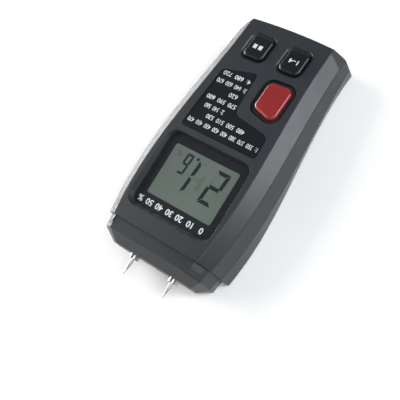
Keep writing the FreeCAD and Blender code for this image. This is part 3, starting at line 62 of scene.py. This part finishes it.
class Shader:
    """A material's node tree, with short calls for the nodes that every material uses."""

    def __init__(self, name):
        self.material = bpy.data.materials.new(name)
        self.material.use_nodes = True
        self.tree = self.material.node_tree
        self.tree.nodes.clear()
        self.output = self.node("ShaderNodeOutputMaterial")
        self.place = self.node("ShaderNodeTexCoord").outputs["Object"]

    def node(self, kind, **settings):
        """A new node with its own settings already set."""
        made = self.tree.nodes.new(kind)
        for key, value in settings.items():
            setattr(made, key, value)
        return made

    def link(self, source, target):
        self.tree.links.new(source, target)

    def principled(self, colour, roughness, **sockets):
        """The surface; sockets are set by their names with spaces written as underscores."""
        made = self.node("ShaderNodeBsdfPrincipled")
        made.inputs["Base Color"].default_value = (*colour, 1)
        made.inputs["Roughness"].default_value = roughness
        for key, value in sockets.items():
            made.inputs[key.replace("_", " ")].default_value = value
        self.link(made.outputs["BSDF"], self.output.inputs["Surface"])
        return made

    def stretched(self, factors):
        """Object coordinates scaled along each axis, for grain that runs one way."""
        mapping = self.node("ShaderNodeMapping")
        mapping.inputs["Scale"].default_value = factors
        self.link(self.place, mapping.inputs["Vector"])
        return mapping.outputs["Vector"]

    def noise(self, feature, detail=2.0, place=None):
        """Noise whose blobs are about feature metres across, from 0 to 1."""
        made = self.node("ShaderNodeTexNoise")
        made.inputs["Scale"].default_value = 1 / feature
        made.inputs["Detail"].default_value = detail
        self.link(place or self.place, made.inputs["Vector"])
        return made.outputs["Fac"]

    def spread(self, value, low, high, start=0.35, end=0.65):
        """value between start and end, remapped to the range from low to high."""
        made = self.node("ShaderNodeMapRange")
        for key, number in (("From Min", start), ("From Max", end), ("To Min", low), ("To Max", high)):
            made.inputs[key].default_value = number
        self.link(value, made.inputs["Value"])
        return made.outputs["Result"]

    def blend(self, factor, first, second):
        """A colour between two colours, or between two colour sockets."""
        made = self.node("ShaderNodeMix", data_type="RGBA")
        self.link(factor, made.inputs["Factor"])
        for key, colour in (("A", first), ("B", second)):
            socket = [i for i in made.inputs if i.name == key and i.type == "RGBA"][0]
            if isinstance(colour, bpy.types.NodeSocket):
                self.link(colour, socket)
            else:
                socket.default_value = (*colour, 1)
        return [o for o in made.outputs if o.type == "RGBA"][0]

    def mottled(self, first, second, patch):
        """A colour that drifts between two tones, in patches about patch metres across."""
        drift = self.spread(self.noise(patch, detail=3.0), 0.0, 1.0)
        return self.blend(drift, first, second)

    def bump(self, surface, height, distance):
        """Relief on the surface; height from 0 to 1 stands for distance metres."""
        made = self.node("ShaderNodeBump")
        made.inputs["Distance"].default_value = distance
        made.inputs["Strength"].default_value = 1.0
        self.link(height, made.inputs["Height"])
        self.link(made.outputs["Normal"], surface.inputs["Normal"])

    def edges(self, radius):
        """1 on sharp edges, fading to 0 over radius, by comparing the bevelled normal with the true one."""
        bevel = self.node("ShaderNodeBevel", samples=4)
        bevel.inputs["Radius"].default_value = radius
        geometry = self.node("ShaderNodeNewGeometry")
        dot = self.node("ShaderNodeVectorMath", operation="DOT_PRODUCT")
        self.link(bevel.outputs["Normal"], dot.inputs[0])
        self.link(geometry.outputs["Normal"], dot.inputs[1])
        return self.spread(dot.outputs["Value"], 1.0, 0.0, start=0.8, end=0.99)


def tinted(colour, factor):
    """The colour made lighter or darker by a factor."""
    return tuple(min(1.0, channel * factor) for channel in colour)


# ---------------------------------------------------------------- materials

CASE_GREY = (0.0160, 0.0187, 0.0225)
# painted light: this grey is lighter than the front case's, standing in for the light on the rear band of the
# shell and battery door
REAR_GREY_PAINTED_LIGHTER = (0.040, 0.044, 0.048)
DISPLAY_GREEN = (0.120, 0.142, 0.122)
BOARD_GREEN = (0.012, 0.085, 0.035)
CELL_JACKET = (0.02, 0.02, 0.022)
CELL_BARE_END = (0.50, 0.49, 0.46)
CELL_BAND = (0.42, 0.19, 0.04)

# how far roughness wanders: over moulded grain and from patch to patch, over the printing
# screen's mesh, and on metal towards shiny and towards hazy
GRAIN_GLOSS = 0.05
PATCH_GLOSS = 0.012
MESH_GLOSS = 0.04
METAL_SHINE = 0.04
METAL_HAZE = 0.08

# width of the lighter band along an edge, part rubbed wear and part painted edge highlight
EDGE_BAND_OF_WEAR_AND_HIGHLIGHT = 0.35 * MM


def moulded(name, colour, roughness, grain=0.25 * MM, depth=0.006 * MM, edge_wear_and_highlight=0.0, **sockets):
    """Injection-moulded plastic: eroded mould grain, faint flow tone and, with edge wear, lighter edges that
    are part rubbed wear and part painted edge highlight.
    """
    shader = Shader(name)
    surface = shader.principled(colour, roughness, **sockets)
    base = shader.mottled(tinted(colour, 0.92), tinted(colour, 1.08), patch=16 * MM)
    if edge_wear_and_highlight:
        # painted edge highlight: the edge mask lightens the base colour along edges, partly as rubbed wear
        base = shader.blend(shader.edges(EDGE_BAND_OF_WEAR_AND_HIGHLIGHT), base, tinted(colour, 1 + edge_wear_and_highlight))
    shader.link(base, surface.inputs["Base Color"])
    fine = shader.noise(grain, detail=3.0)
    patchy = shader.noise(7 * MM, detail=4.0)
    mixed = shader.node("ShaderNodeMath", operation="ADD")
    gloss = shader.spread(fine, roughness - GRAIN_GLOSS, roughness + GRAIN_GLOSS)
    shader.link(gloss, mixed.inputs[0])
    shader.link(shader.spread(patchy, -PATCH_GLOSS, PATCH_GLOSS), mixed.inputs[1])
    shader.link(mixed.outputs["Value"], surface.inputs["Roughness"])
    shader.bump(surface, fine, depth)
    return shader.material


def printed(name, colour, roughness, **sockets):
    """Screen-printed ink: a little uneven in tone and gloss, with the faint mesh of the screen in it."""
    shader = Shader(name)
    surface = shader.principled(colour, roughness, **sockets)
    tone = shader.mottled(tinted(colour, 0.88), tinted(colour, 1.08), patch=5 * MM)
    shader.link(tone, surface.inputs["Base Color"])
    weave = shader.noise(0.3 * MM, detail=1.0)
    gloss = shader.spread(weave, roughness - MESH_GLOSS, roughness + MESH_GLOSS)
    shader.link(gloss, surface.inputs["Roughness"])
    shader.bump(surface, weave, 0.0002 * MM)
    return shader.material


def metal(name, colour, roughness, along=(1, 1, 1), feature=0.2 * MM, depth=0.004 * MM):
    """Machined or plated metal: fine grain and faint clouds.

    The grain is drawn out into lines along an axis whose factor in along is below 1.
    """
    shader = Shader(name)
    surface = shader.principled(colour, roughness, Metallic=1.0)
    lines = shader.noise(feature, detail=2.0, place=shader.stretched(along))
    tone = shader.mottled(tinted(colour, 0.93), tinted(colour, 1.03), patch=3 * MM)
    shader.link(tone, surface.inputs["Base Color"])
    gloss = shader.spread(lines, roughness - METAL_SHINE, roughness + METAL_HAZE)
    shader.link(gloss, surface.inputs["Roughness"])
    shader.bump(surface, lines, depth)
    return shader.material


def clear_window():
    """Clear moulded window: see-through, glossy, with faint wiping marks in its gloss."""
    shader = Shader("clear_window")
    marks = shader.noise(3 * MM, detail=2.0, place=shader.stretched((0.2, 1, 1)))
    through = shader.node("ShaderNodeBsdfTransparent")
    through.inputs["Color"].default_value = (0.97, 0.98, 0.98, 1)
    gloss = shader.node("ShaderNodeBsdfGlossy")
    gloss.inputs["Color"].default_value = (1, 1, 1, 1)
    shader.link(shader.spread(marks, 0.11, 0.14), gloss.inputs["Roughness"])
    fresnel = shader.node("ShaderNodeFresnel")
    fresnel.inputs["IOR"].default_value = 1.4
    # light isn't bent on its way through, so the inner side must not mirror it back
    outside = shader.node("ShaderNodeMath", operation="SUBTRACT", use_clamp=True)
    shader.link(fresnel.outputs["Fac"], outside.inputs[0])
    shader.link(shader.node("ShaderNodeNewGeometry").outputs["Backfacing"], outside.inputs[1])
    mixed = shader.node("ShaderNodeMixShader")
    shader.link(outside.outputs["Value"], mixed.inputs["Fac"])
    shader.link(through.outputs["BSDF"], mixed.inputs[1])
    shader.link(gloss.outputs["BSDF"], mixed.inputs[2])
    shader.link(mixed.outputs["Shader"], shader.output.inputs["Surface"])
    return shader.material


def display_glass():
    """Reflective grey-green display glass with a soft tone drift and a fine diffuser grain."""
    shader = Shader("display_glass")
    surface = shader.principled(DISPLAY_GREEN, 0.3)
    drift = shader.spread(shader.noise(22 * MM, detail=2.0), 0.0, 1.0, start=0.3, end=0.7)
    base = shader.blend(drift, tinted(DISPLAY_GREEN, 0.93), tinted(DISPLAY_GREEN, 1.07))
    grain = shader.noise(0.15 * MM, detail=2.0)
    tone = shader.blend(shader.spread(grain, 0.0, 0.25), base, tinted(DISPLAY_GREEN, 0.8))
    shader.link(tone, surface.inputs["Base Color"])
    shader.link(shader.spread(grain, 0.26, 0.34), surface.inputs["Roughness"])
    return shader.material


def circuit_laminate():
    """Green solder mask with copper tracks showing faintly under it."""
    shader = Shader("circuit_laminate")
    surface = shader.principled(BOARD_GREEN, 0.35)
    tracks = shader.node("ShaderNodeTexBrick", offset=0.5)
    shader.link(shader.stretched((300, 300, 300)), tracks.inputs["Vector"])
    tracks.inputs["Scale"].default_value = 1.0
    tracks.inputs["Mortar Size"].default_value = 0.08
    for key, factor in (("Color1", 0.9), ("Color2", 1.1), ("Mortar", 2.2)):
        tracks.inputs[key].default_value = (*tinted(BOARD_GREEN, factor), 1)
    shader.link(tracks.outputs["Color"], surface.inputs["Base Color"])
    shader.link(shader.spread(shader.noise(0.4 * MM), 0.3, 0.42), surface.inputs["Roughness"])
    shader.bump(surface, tracks.outputs["Fac"], 0.02 * MM)
    return shader.material


def cell_jacket():
    """Shrink-wrapped cell: a dark jacket with a wide coloured band and fine film wrinkles."""
    shader = Shader("cell_jacket")
    surface = shader.principled(CELL_JACKET, 0.3)
    split = shader.node("ShaderNodeSeparateXYZ")
    shader.link(shader.place, split.inputs["Vector"])
    cell_low, cell_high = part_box("battery_cells")
    share = shader.spread(split.outputs["Y"], 0.0, 1.0, start=cell_low.y, end=cell_high.y)
    band = shader.node("ShaderNodeValToRGB")
    band.color_ramp.interpolation = "CONSTANT"
    band.color_ramp.elements[0].color = (*CELL_BARE_END, 1)
    band.color_ramp.elements[1].position = 0.06
    band.color_ramp.elements[1].color = (*CELL_JACKET, 1)
    for position, colour in ((0.55, CELL_BAND), (0.92, CELL_BARE_END)):
        band.color_ramp.elements.new(position).color = (*colour, 1)
    shader.link(share, band.inputs["Fac"])
    shader.link(band.outputs["Color"], surface.inputs["Base Color"])
    film = shader.noise(1.5 * MM, detail=4.0)
    shader.link(shader.spread(film, 0.22, 0.38), surface.inputs["Roughness"])
    shader.bump(surface, film, 0.03 * MM)
    return shader.material


def node_materials():
    """The material of every CAD node."""
    # the edge amounts lighten the edges: part rubbed wear, part painted edge highlight
    case = moulded("case_plastic", CASE_GREY, 0.42, edge_wear_and_highlight=0.5, Specular_IOR_Level=0.4)
    # painted light: a lighter grey for the rear shell and battery door, standing in for the light on the rear
    # band
    rear = moulded("rear_plastic_painted_lighter", REAR_GREY_PAINTED_LIGHTER, 0.4, edge_wear_and_highlight=0.4)
    white = moulded("white_moulding", (0.62, 0.62, 0.60), 0.45)
    silicone = moulded("silicone_rubber", (0.10, 0.10, 0.105), 0.6)
    switch = moulded("switch_housing", (0.02, 0.02, 0.02), 0.4)
    plated = metal("plated_steel", (0.68, 0.67, 0.64), 0.28)
    screw = metal("screw_steel", (0.60, 0.60, 0.60), 0.3)
    pin = metal("pin_steel", (0.42, 0.41, 0.40), 0.24, along=(1, 0.1, 1), depth=0.0005 * MM)
    brass = metal("brass", (0.78, 0.56, 0.25), 0.25)
    chip = moulded("chip_epoxy", (0.015, 0.015, 0.016), 0.5)
    black = moulded("black_button", (0.006, 0.0065, 0.008), 0.32, grain=0.4 * MM, depth=0.002 * MM,
                    Specular_IOR_Level=0.28)
    return {
        "front_case": case,
        "rear_case": rear,
        "battery_door": rear,
        "display_lens": clear_window(),
        "display_mask": printed("window_border_ink", (0.010, 0.011, 0.014), 0.35, Specular_IOR_Level=0.2),
        "lcd_glass": display_glass(),
        "backlight_panel": white,
        "lcd_frame": white,
        "contact_strip": silicone,
        "species_panel": printed("panel_film", (0.005, 0.006, 0.009), 0.36, Specular_IOR_Level=0.2),
        "hold_button": black,
        "mode_button": black,
        "power_button": moulded("red_button", (0.20, 0.011, 0.012), 0.32, grain=0.4 * MM, depth=0.003 * MM),
        "power_collar": moulded("collar_plastic", (0.012, 0.013, 0.015), 0.3),
        "power_plunger": switch,
        "hold_plunger": switch,
        "mode_plunger": switch,
        "switch_bodies": switch,
        "circuit_board": circuit_laminate(),
        "microcontroller": chip,
        "sensing_amplifier": chip,
        "crystal_can": plated,
        "chip_resistors_and_capacitors": moulded("chip_ceramic", (0.32, 0.24, 0.16), 0.4),
        "case_screws": screw,
        "board_screws": screw,
        "electrode_pins": pin,
        "pin_nuts": pin,
        "pin_sockets": brass,
        "electrode_strips": brass,
        "electrode_carrier": moulded("carrier_plastic", (0.03, 0.03, 0.03), 0.5),
        "battery_cells": cell_jacket(),
        "battery_springs": plated,
        "battery_contacts": plated,
    }


def dress_nodes():
    """Put each CAD node's material in all of its slots."""
    for name, material in node_materials().items():
        for slot in NODES[name].material_slots:
            slot.material = material


# ---------------------------------------------------------------- planes of the tilted faces

# faces whose normal rises at least this much belong to a node's upper face
FACING_UP = 0.98


def top_plane(node):
    """A matrix that lays flat work on a node's upper face: Z is out of it, Y runs towards the pins.

    Its origin is the middle of the node's box, dropped onto that face.
    """
    low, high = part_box(node)
    middle = (low + high) / 2
    upper = [face for face in NODES[node].data.polygons
             if face.normal.z > FACING_UP and face.center.z > middle.z]
    area = sum(face.area for face in upper)
    centre = sum((face.center * face.area for face in upper), Vector()) / area
    normal = sum((face.normal * face.area for face in upper), Vector())
    normal = Vector((0, normal.y, normal.z)).normalized()
    level = centre.z - (middle.y - centre.y) * normal.y / normal.z
    across = Vector((1, 0, 0))
    turn = Matrix((across, normal.cross(across), normal)).transposed().to_4x4()
    return Matrix.Translation(Vector((middle.x, middle.y, level))) @ turn


def add_piece(name, mesh, material, body):
    """Make an object of a mesh, give it its material and let it ride on a body."""
    piece = bpy.data.objects.new(name, mesh)
    bpy.context.scene.collection.objects.link(piece)
    mesh.materials.clear()
    mesh.materials.append(material)
    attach(piece, body)


# ---------------------------------------------------------------- printed marks

def slab_mesh(name, outlines, plane, lift, thickness):
    """Thin raised shapes on a plane: one prism for each outline of plane points."""
    shape = bmesh.new()
    for outline in outlines:
        low = [shape.verts.new(plane @ Vector((x, y, lift))) for x, y in outline]
        high = [shape.verts.new(plane @ Vector((x, y, lift + thickness))) for x, y in outline]
        count = len(outline)
        shape.faces.new(high)
        shape.faces.new(list(reversed(low)))
        for index in range(count):
            after = (index + 1) % count
            shape.faces.new((low[index], low[after], high[after], high[index]))
    bmesh.ops.recalc_face_normals(shape, faces=shape.faces)
    mesh = bpy.data.meshes.new(name)
    shape.to_mesh(mesh)
    shape.free()
    return mesh


# about the height of a numeral in Blender's own font, where the text size is 1
NUMERAL_HEIGHT = 0.70


def numerals_mesh(name, rows, height, plane, lift, thickness, bold):
    """Rows of numerals on a plane; each row is (text, left end, baseline, width or None).

    A row without a width keeps the font's own proportions. bold thickens the strokes.
    """
    shape = bmesh.new()
    for text, left, baseline, width in rows:
        curve = bpy.data.curves.new(name, "FONT")
        curve.body = text
        curve.extrude = thickness / 2 / height
        curve.offset = bold
        writer = bpy.data.objects.new(name, curve)
        flat = bpy.data.meshes.new_from_object(writer)
        across = [vertex.co.x for vertex in flat.vertices]
        start = min(across)
        extent = max(across) - start
        scale_y = height / NUMERAL_HEIGHT
        scale_x = width / extent if width else scale_y
        move = Matrix.Translation(Vector((left, baseline, lift + thickness / 2)))
        size = Matrix.Diagonal(Vector((scale_x, scale_y, height, 1)))
        flat.transform(plane @ move @ size @ Matrix.Translation(Vector((-start, 0, 0))))
        shape.from_mesh(flat)
        bpy.data.objects.remove(writer)
        bpy.data.curves.remove(curve)
        bpy.data.meshes.remove(flat)
    mesh = bpy.data.meshes.new(name)
    shape.to_mesh(mesh)
    shape.free()
    return mesh


SEGMENTS = {"1": "bc", "2": "abged", "6": "acdefg", "8": "abcdefg"}
# sideways lean per height, and the gap between segments per stroke width
DIGIT_SLANT = 0.08
SEGMENT_GAP = 0.1


def digit_outlines(lit, left, bottom, width, height, stroke):
    """Seven-segment outlines of one digit with mitred ends, leaning a little to the right."""
    gap = stroke * SEGMENT_GAP
    half = height / 2
    nib = stroke / 2

    def bar(y, inset_above, inset_below):
        """A level segment about the height y."""
        return [(gap + inset_above, y + nib), (width - gap - inset_above, y + nib),
                (width - gap - inset_below, y - nib), (gap + inset_below, y - nib)]

    def post(outer, inner, outer_end, inner_end):
        """An upright from the middle bar to an end, cut to a mitre at both."""
        away = math.copysign(gap, outer_end - half)
        return [(outer, half + away), (outer, outer_end), (inner, inner_end),
                (inner, half + away + math.copysign(nib, away))]

    top = height - gap
    foot = gap
    pieces = {
        "a": bar(height - nib, 0, stroke),
        "d": bar(nib, stroke, 0),
        "g": bar(half, nib, nib),
        "f": post(0, stroke, top, top - stroke),
        "b": post(width, width - stroke, top, top - stroke),
        "e": post(0, stroke, foot, foot + stroke),
        "c": post(width, width - stroke, foot, foot + stroke),
    }
    return [[(left + x + DIGIT_SLANT * y, bottom + y) for x, y in pieces[key]] for key in lit]


def box_outline(left, bottom, width, height):
    """The corners of an upright rectangle."""
    return [(left, bottom), (left + width, bottom), (left + width, bottom + height), (left, bottom + height)]


def display_marks():
    """A reading of 21.6 % on the display glass, with the unlit segments showing faintly."""
    glass = top_plane("lcd_glass")
    baseline = -10.1 * MM
    dot = 1.3 * MM
    lit = [box_outline(left=3.2 * MM, bottom=baseline - 0.6 * MM, width=dot, height=dot)]
    unlit = []
    large = dict(bottom=baseline, width=7.2 * MM, height=16.2 * MM, stroke=1.75 * MM)
    small = dict(bottom=baseline - 0.7 * MM, width=3.7 * MM, height=10.0 * MM, stroke=1.05 * MM)
    for digit, left, size in (("2", -14.4 * MM, large), ("1", -4.6 * MM, large), ("6", 6.0 * MM, small)):
        place = dict(left=left, **size)
        lit += digit_outlines(SEGMENTS[digit], **place)
        unlit += digit_outlines([key for key in SEGMENTS["8"] if key not in SEGMENTS[digit]], **place)
    dark = printed("lit_segment", (0.010, 0.015, 0.013), 0.4, Specular_IOR_Level=0.15)
    faint = printed("unlit_segment", (0.108, 0.129, 0.110), 0.3)
    light = printed("percent_segment", (0.050, 0.062, 0.056), 0.4)
    digits = slab_mesh("display_digits", lit, glass, lift=0.005 * MM, thickness=0.012 * MM)
    ghosts = slab_mesh("display_unlit_digits", unlit, glass, lift=0.005 * MM, thickness=0.008 * MM)
    sign = [("%", 12.0 * MM, baseline, 2.6 * MM)]
    percent = numerals_mesh("display_percent", sign, height=2.4 * MM, plane=glass, lift=0.005 * MM,
                            thickness=0.012 * MM, bold=0.0)
    add_piece("display_digits", digits, dark, "case")
    add_piece("display_unlit_digits", ghosts, faint, "case")
    add_piece("display_percent", percent, light, "case")


def window_scale():
    """White numerals printed behind the window, above the display."""
    plane = top_plane("display_mask")
    low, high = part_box("display_lens")
    from_edge = 4.3 * MM
    rise = (high.y - low.y) / 2 - from_edge
    first = -16.4 * MM
    pitch = 5.6 * MM
    rows = [(text, first + index * pitch, rise, None)
            for index, text in enumerate(("0", "10", "20", "30", "40", "50", "%"))]
    ink = printed("window_ink", (0.72, 0.73, 0.74), 0.45)
    scale = numerals_mesh("window_scale", rows, height=2.7 * MM, plane=plane, lift=0.003 * MM,
                          thickness=0.010 * MM, bold=0.02)
    add_piece("window_scale", scale, ink, "case")


def panel_numerals():
    """Rows of timber-group numbers on the printed panel, each row as wide as the panel allows there.

    Each row is its text, its left end from the panel's middle and its width, in millimetres.
    """
    plane = top_plane("species_panel")
    low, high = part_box("species_panel")
    pin_end = (high.y - low.y) / 2
    rows = [
        ("1:  350  370  380  400  420  430  450  470", -18.8, 37.6),
        ("480  500  510  530", -9.0, 20.6),
        ("2:  540  560", 5.2, 10.4),
        ("570  590  600", 1.6, 15.8),
        ("620", 3.8, 4.4),
        ("3:  640  650  670", 2.0, 15.9),
        ("4:  680  720", 2.6, 14.6),
    ]
    from_edge = 4.9 * MM
    first = pin_end - from_edge
    pitch = 4.37 * MM
    placed = [(text, left * MM, first - index * pitch, width * MM)
              for index, (text, left, width) in enumerate(rows)]
    ink = printed("panel_ink", (0.62, 0.63, 0.64), 0.5)
    numerals = numerals_mesh("panel_numerals", placed, height=2.1 * MM, plane=plane, lift=0.003 * MM,
                             thickness=0.012 * MM, bold=0.005)
    add_piece("panel_numerals", numerals, ink, "case")


def button_marks():
    """A pause sign on one small button and the group numbers on the other."""
    ink = printed("button_ink", (0.50, 0.51, 0.53), 0.45)
    left, foot, width, height = -2.4 * MM, -1.0 * MM, 4.8 * MM, 2.2 * MM
    bar = 1.9 * MM
    bars = [box_outline(start, foot, bar, height) for start in (left, left + width - bar)]
    hold = slab_mesh("hold_sign", bars, top_plane("hold_button"), lift=0.004 * MM, thickness=0.02 * MM)
    add_piece("hold_sign", hold, ink, "hold_button")
    mode = numerals_mesh("mode_numerals", [("1-4", left, foot, width)], height=height,
                         plane=top_plane("mode_button"), lift=0.004 * MM, thickness=0.02 * MM, bold=0.02)
    add_piece("mode_numerals", mode, ink, "mode_button")


# ---------------------------------------------------------------- camera, floor and lights

def turned(azimuth, elevation):
    """The unit vector that points to an azimuth and elevation in degrees."""
    flat = math.cos(math.radians(elevation))
    return Vector((flat * math.cos(math.radians(azimuth)), flat * math.sin(math.radians(azimuth)),
                   math.sin(math.radians(elevation))))


# the viewpoint: aim and distance in lengths of the meter, angles in degrees, lens in millimetres
VIEW_AIM = Vector((-0.018, 0.155, 0))
VIEW_DISTANCE = 2.764
VIEW_AZIMUTH = 164.62
VIEW_ELEVATION = 59.71
VIEW_ROLL = -43.76
FOCAL_LENGTH = 74.4
SENSOR_WIDTH = 36

COOL_LIGHT = (0.91, 0.965, 1.0)
WHITE_LIGHT = (1.0, 1.0, 1.0)

# the floor's half width in lengths of the meter, and the two tones it drifts between
FLOOR_REACH = 12
FLOOR_TONES = ((0.875, 0.855, 0.840), (0.905, 0.885, 0.870))


def add_camera():
    """The photograph's viewpoint: high over the left side, with the pins towards the lower left."""
    aim = MIDDLE + VIEW_AIM * LENGTH
    away = turned(VIEW_AZIMUTH, VIEW_ELEVATION)
    camera = bpy.data.objects.new("camera", bpy.data.cameras.new("camera"))
    bpy.context.scene.collection.objects.link(camera)
    camera.data.lens = FOCAL_LENGTH
    camera.data.sensor_width = SENSOR_WIDTH
    camera.data.clip_start = 0.01
    place = Matrix.Translation(aim + away * VIEW_DISTANCE * LENGTH)
    level = away.to_track_quat("Z", "Y").to_matrix().to_4x4()
    camera.matrix_world = place @ level @ Matrix.Rotation(math.radians(VIEW_ROLL), 4, "Z")
    bpy.context.scene.camera = camera


def add_floor():
    """A wide pale floor, a little warm to balance the cool lamps."""
    shader = Shader("pale_floor")
    surface = shader.principled(FLOOR_TONES[0], roughness=0.6)
    shader.link(shader.mottled(*FLOOR_TONES, patch=50 * MM), surface.inputs["Base Color"])
    shape = bmesh.new()
    reach = FLOOR_REACH * LENGTH
    corners = [shape.verts.new((x * reach, y * reach, 0)) for x, y in ((-1, -1), (1, -1), (1, 1), (-1, 1))]
    shape.faces.new(corners)
    mesh = bpy.data.meshes.new("floor")
    shape.to_mesh(mesh)
    shape.free()
    floor = bpy.data.objects.new("floor", mesh)
    bpy.context.scene.collection.objects.link(floor)
    mesh.materials.append(shader.material)


def add_softbox(name, aim, direction, distance, size, power, beam=180, colour=WHITE_LIGHT):
    """An area light that faces the aim from a direction (azimuth, elevation), within a beam in degrees."""
    lamp = bpy.data.lights.new(name, "AREA")
    lamp.shape = "RECTANGLE"
    lamp.size, lamp.size_y = size
    lamp.spread = math.radians(beam)
    lamp.energy = power
    lamp.color = colour
    box = bpy.data.objects.new(name, lamp)
    bpy.context.scene.collection.objects.link(box)
    away = turned(*direction)
    facing = away.to_track_quat("Z", "Y").to_matrix().to_4x4()
    box.matrix_world = Matrix.Translation(aim + away * distance) @ facing


def add_world():
    """A pale surround that darkens overhead, so that the upper faces stay dark."""
    world = bpy.data.worlds.new("studio")
    world.use_nodes = True
    tree = world.node_tree
    background = tree.nodes["Background"]
    background.inputs["Color"].default_value = (1, 1, 1, 1)
    place = tree.nodes.new("ShaderNodeTexCoord")
    split = tree.nodes.new("ShaderNodeSeparateXYZ")
    fade = tree.nodes.new("ShaderNodeMapRange")
    fade.interpolation_type = "SMOOTHSTEP"
    for key, number in (("From Min", 0.2), ("From Max", 0.8), ("To Min", 0.5), ("To Max", 0.2)):
        fade.inputs[key].default_value = number
    tree.links.new(place.outputs["Generated"], split.inputs["Vector"])
    tree.links.new(split.outputs["Z"], fade.inputs["Value"])
    tree.links.new(fade.outputs["Result"], background.inputs["Strength"])
    bpy.context.scene.world = world


def add_lights():
    """Two softboxes over the left side, two over the right, and a beam on the floor beside the case."""
    add_softbox("key_light", MIDDLE, direction=(208, 31), distance=0.9, size=(0.34, 0.34), power=6.2,
                colour=COOL_LIGHT)
    add_softbox("top_light", MIDDLE, direction=(175, 62), distance=1.4, size=(0.9, 0.9), power=9,
                colour=COOL_LIGHT)
    add_softbox("back_light", MIDDLE, direction=(15, 35), distance=1.2, size=(0.8, 0.5), power=7)
    add_softbox("side_light", MIDDLE, direction=(-4, 9), distance=0.6, size=(0.4, 0.12), power=5)
    beside = Vector((FULL_HIGH.x + 0.6 * LENGTH, 0, 0))
    add_softbox("floor_beam", beside, direction=(0, 89), distance=1.5 * LENGTH,
                size=(1.6 * LENGTH, 0.5 * LENGTH), power=0.22, beam=20)


def main():
    """Dress the CAD nodes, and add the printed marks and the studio."""
    dress_nodes()
    display_marks()
    window_scale()
    panel_numerals()
    button_marks()
    add_camera()
    add_floor()
    add_world()
    add_lights()
    bpy.context.scene.view_settings.view_transform = "Standard"


main()
